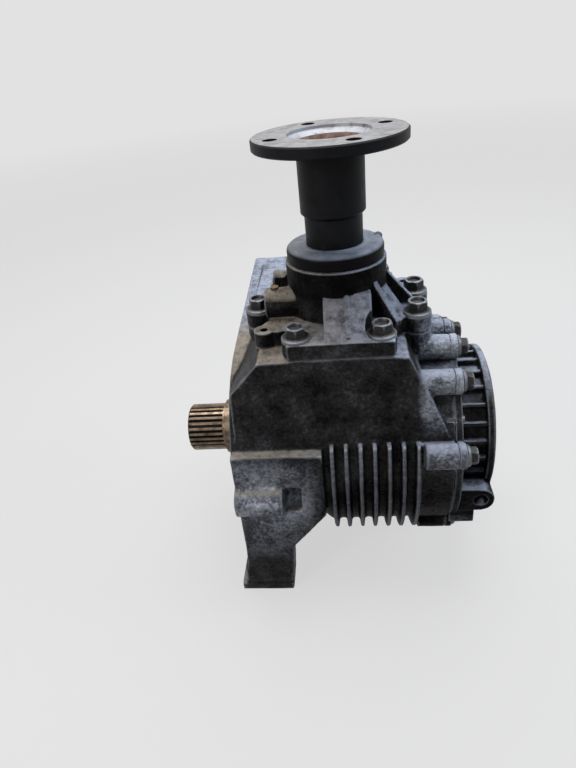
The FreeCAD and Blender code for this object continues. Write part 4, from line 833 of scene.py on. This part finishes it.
# ---------------------------------------------------------------- carried-over pieces
KEPT = {
    "input_shaft": "spline", "ring_gear": "gear", "pinion_gear": "gear", "ring_gear_bolts": "bolt",
    "pinion_nut": "bolt", "nut_washer": "steel", "pinion_shim": "steel", "input_bearing_shim": "steel",
    "cover_bearing_shim": "steel", "collapsible_spacer": "steel", "housing_dowels": "steel",
    "cover_dowels": "steel", "breather": "brass", "plug_washers": "copper", "drain_plug": "bolt",
    "fill_plug": "bolt", "input_seal": "rubber", "cover_seal": "rubber", "output_seal": "rubber",
    "housing_oring": "rubber", "cover_oring": "rubber",
}


class TC_OT_kept_pieces(bpy.types.Operator):
    """Give every CAD piece that keeps its shape the finish of its own material"""
    bl_idname = "transfer_case.kept_pieces"
    bl_label = "Shaft, gears, seals and plugs"

    def execute(self, context):
        for name, piece in NODES.items():
            chosen = KEPT.get(name, "bearing")
            piece.data.materials.clear()
            piece.data.materials.append(finish(chosen))
        return {"FINISHED"}


# ---------------------------------------------------------------- stage
BACKDROP = "e2e2e2"
ROOM = "c4cad4"
ROOM_LIGHT = 0.16
FLOOR_HALF = 60.0
# name, place, size, power, colour, target; lengths in metres, power in watts
LAMPS = (
    ("overhead", (0.0, 0.35, 1.25), 1.4, 30.0, (1.0, 1.0, 1.0), (0.0, 0.0, 0.05)),
    ("front_left", (-0.9, -0.95, 0.75), 0.5, 9.0, (1.0, 0.95, 0.90), (0.0, 0.0, 0.0)),
    ("right", (1.2, 0.1, 0.8), 0.6, 9.0, (0.74, 0.84, 1.0), (0.05, 0.0, 0.0)),
)
CAMERA_LENS = 27.05
CAMERA_PLACE = (7.55, -427.48, 312.50)
# azimuth, downward pitch and roll, in degrees
CAMERA_TURNS = (-7.36, 32.02, -6.46)


def seen_rays(tree):
    """1 for the rays that show the pale backdrop: straight from the camera, mirrored or let through."""
    rays = add_node(tree, "ShaderNodeLightPath").outputs
    mirrored = maths(tree, "MAXIMUM", rays["Is Camera Ray"], rays["Is Glossy Ray"])
    return maths(tree, "MAXIMUM", mirrored, rays["Is Transmission Ray"])


def add_floor(scene):
    """A floor that takes the object's shadow near it and fades into the backdrop further away."""
    low = CAD_BOX[0].z
    mesh = bpy.data.meshes.new("floor")
    mesh.from_pydata([(-FLOOR_HALF, -FLOOR_HALF, low), (FLOOR_HALF, -FLOOR_HALF, low),
                      (FLOOR_HALF, FLOOR_HALF, low), (-FLOOR_HALF, FLOOR_HALF, low)], [], [(0, 1, 2, 3)])
    floor = bpy.data.objects.new("floor", mesh)
    scene.collection.objects.link(floor)
    material = bpy.data.materials.new("pale_floor")
    material.use_nodes = True
    tree = material.node_tree
    tree.nodes.clear()
    matte = add_node(tree, "ShaderNodeBsdfDiffuse", {"Color": linear("c4c4c4")}).outputs[0]
    glow = add_node(tree, "ShaderNodeEmission", {"Color": linear(BACKDROP), "Strength": 1.0}).outputs[0]
    place = add_node(tree, "ShaderNodeTexCoord").outputs["Object"]
    away = add_node(tree, "ShaderNodeVectorMath", {0: place}, operation="LENGTH").outputs["Value"]
    share = spread(tree, away, 0.6, 3.0, 0.8, 1.0)
    pale = add_node(tree, "ShaderNodeMixShader", {0: share, 1: matte, 2: glow}).outputs[0]
    dim = add_node(tree, "ShaderNodeBsdfDiffuse", {"Color": linear("5a5a5a")}).outputs[0]
    both = add_node(tree, "ShaderNodeMixShader", {0: seen_rays(tree), 1: dim, 2: pale}).outputs[0]
    add_node(tree, "ShaderNodeOutputMaterial", {"Surface": both})
    mesh.materials.append(material)


def add_world(scene):
    """A pale backdrop that lights the object no more than a plain room does."""
    world = bpy.data.worlds.new("studio")
    world.use_nodes = True
    tree = world.node_tree
    tree.nodes.clear()
    room = add_node(
        tree, "ShaderNodeBackground", {"Color": linear(ROOM), "Strength": ROOM_LIGHT}).outputs[0]
    pale = add_node(tree, "ShaderNodeBackground", {"Color": linear(BACKDROP), "Strength": 1.0}).outputs[0]
    both = add_node(tree, "ShaderNodeMixShader", {0: seen_rays(tree), 1: room, 2: pale}).outputs[0]
    add_node(tree, "ShaderNodeOutputWorld", {"Surface": both})
    scene.world = world


def add_lamps(scene):
    for name, place, size, power, colour, target in LAMPS:
        data = bpy.data.lights.new(name, "AREA")
        data.shape = "DISK"
        data.size = size
        data.energy = power
        data.color = colour
        lamp = bpy.data.objects.new(name, data)
        lamp.location = place
        direction = Vector(target) - Vector(place)
        lamp.rotation_euler = direction.to_track_quat("-Z", "Y").to_euler()
        scene.collection.objects.link(lamp)


def add_camera(scene):
    data = bpy.data.cameras.new("camera")
    data.lens = CAMERA_LENS
    data.sensor_width = 36.0
    camera = bpy.data.objects.new("camera", data)
    azimuth, pitch, roll = (math.radians(degrees) for degrees in CAMERA_TURNS)
    ahead = Vector((math.sin(azimuth) * math.cos(pitch), math.cos(azimuth) * math.cos(pitch),
                    -math.sin(pitch)))
    side = Vector((math.cos(azimuth), -math.sin(azimuth), 0.0))
    above = side.cross(ahead)
    right = side * math.cos(roll) + above * math.sin(roll)
    top = above * math.cos(roll) - side * math.sin(roll)
    turn = Matrix((right, top, -ahead)).transposed()
    camera.matrix_world = Matrix.Translation(Vector(CAMERA_PLACE) * MM) @ turn.to_4x4()
    scene.collection.objects.link(camera)
    scene.camera = camera


class TC_OT_stage(bpy.types.Operator):
    """Set the pale floor, the soft lamps and the camera"""
    bl_idname = "transfer_case.stage"
    bl_label = "Stage"

    def execute(self, context):
        add_floor(context.scene)
        add_world(context.scene)
        add_lamps(context.scene)
        add_camera(context.scene)
        context.scene.view_settings.view_transform = "Standard"
        return {"FINISHED"}


class TC_PT_panel(bpy.types.Panel):
    """Lists the steps that finish the transfer case"""
    bl_idname = "TC_PT_panel"
    bl_label = "Transfer Case"
    bl_space_type = "VIEW_3D"
    bl_region_type = "UI"
    bl_category = "Transfer Case"

    def draw(self, context):
        for group in (context.scene.transfer_case_sizes, context.scene.transfer_case_colours):
            for name in group.__annotations__:
                self.layout.prop(group, name)
        for step in STEPS:
            self.layout.operator(step.bl_idname)


STEPS = (TC_OT_castings, TC_OT_companion_flange, TC_OT_dust_cover, TC_OT_bolts, TC_OT_kept_pieces,
         TC_OT_stage)
CLASSES = (TransferCaseSizes, TransferCaseColours) + STEPS + (TC_PT_panel,)


def register():
    for item in CLASSES:
        bpy.utils.register_class(item)
    bpy.types.Scene.transfer_case_sizes = bpy.props.PointerProperty(type=TransferCaseSizes)
    bpy.types.Scene.transfer_case_colours = bpy.props.PointerProperty(type=TransferCaseColours)


def unregister():
    del bpy.types.Scene.transfer_case_colours
    del bpy.types.Scene.transfer_case_sizes
    for item in reversed(CLASSES):
        bpy.utils.unregister_class(item)


def main():
    register()
    steps = bpy.ops.transfer_case
    steps.castings()
    steps.companion_flange()
    steps.dust_cover()
    steps.bolts()
    steps.kept_pieces()
    steps.stage()
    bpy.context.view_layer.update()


if __name__ == "__main__":
    main()
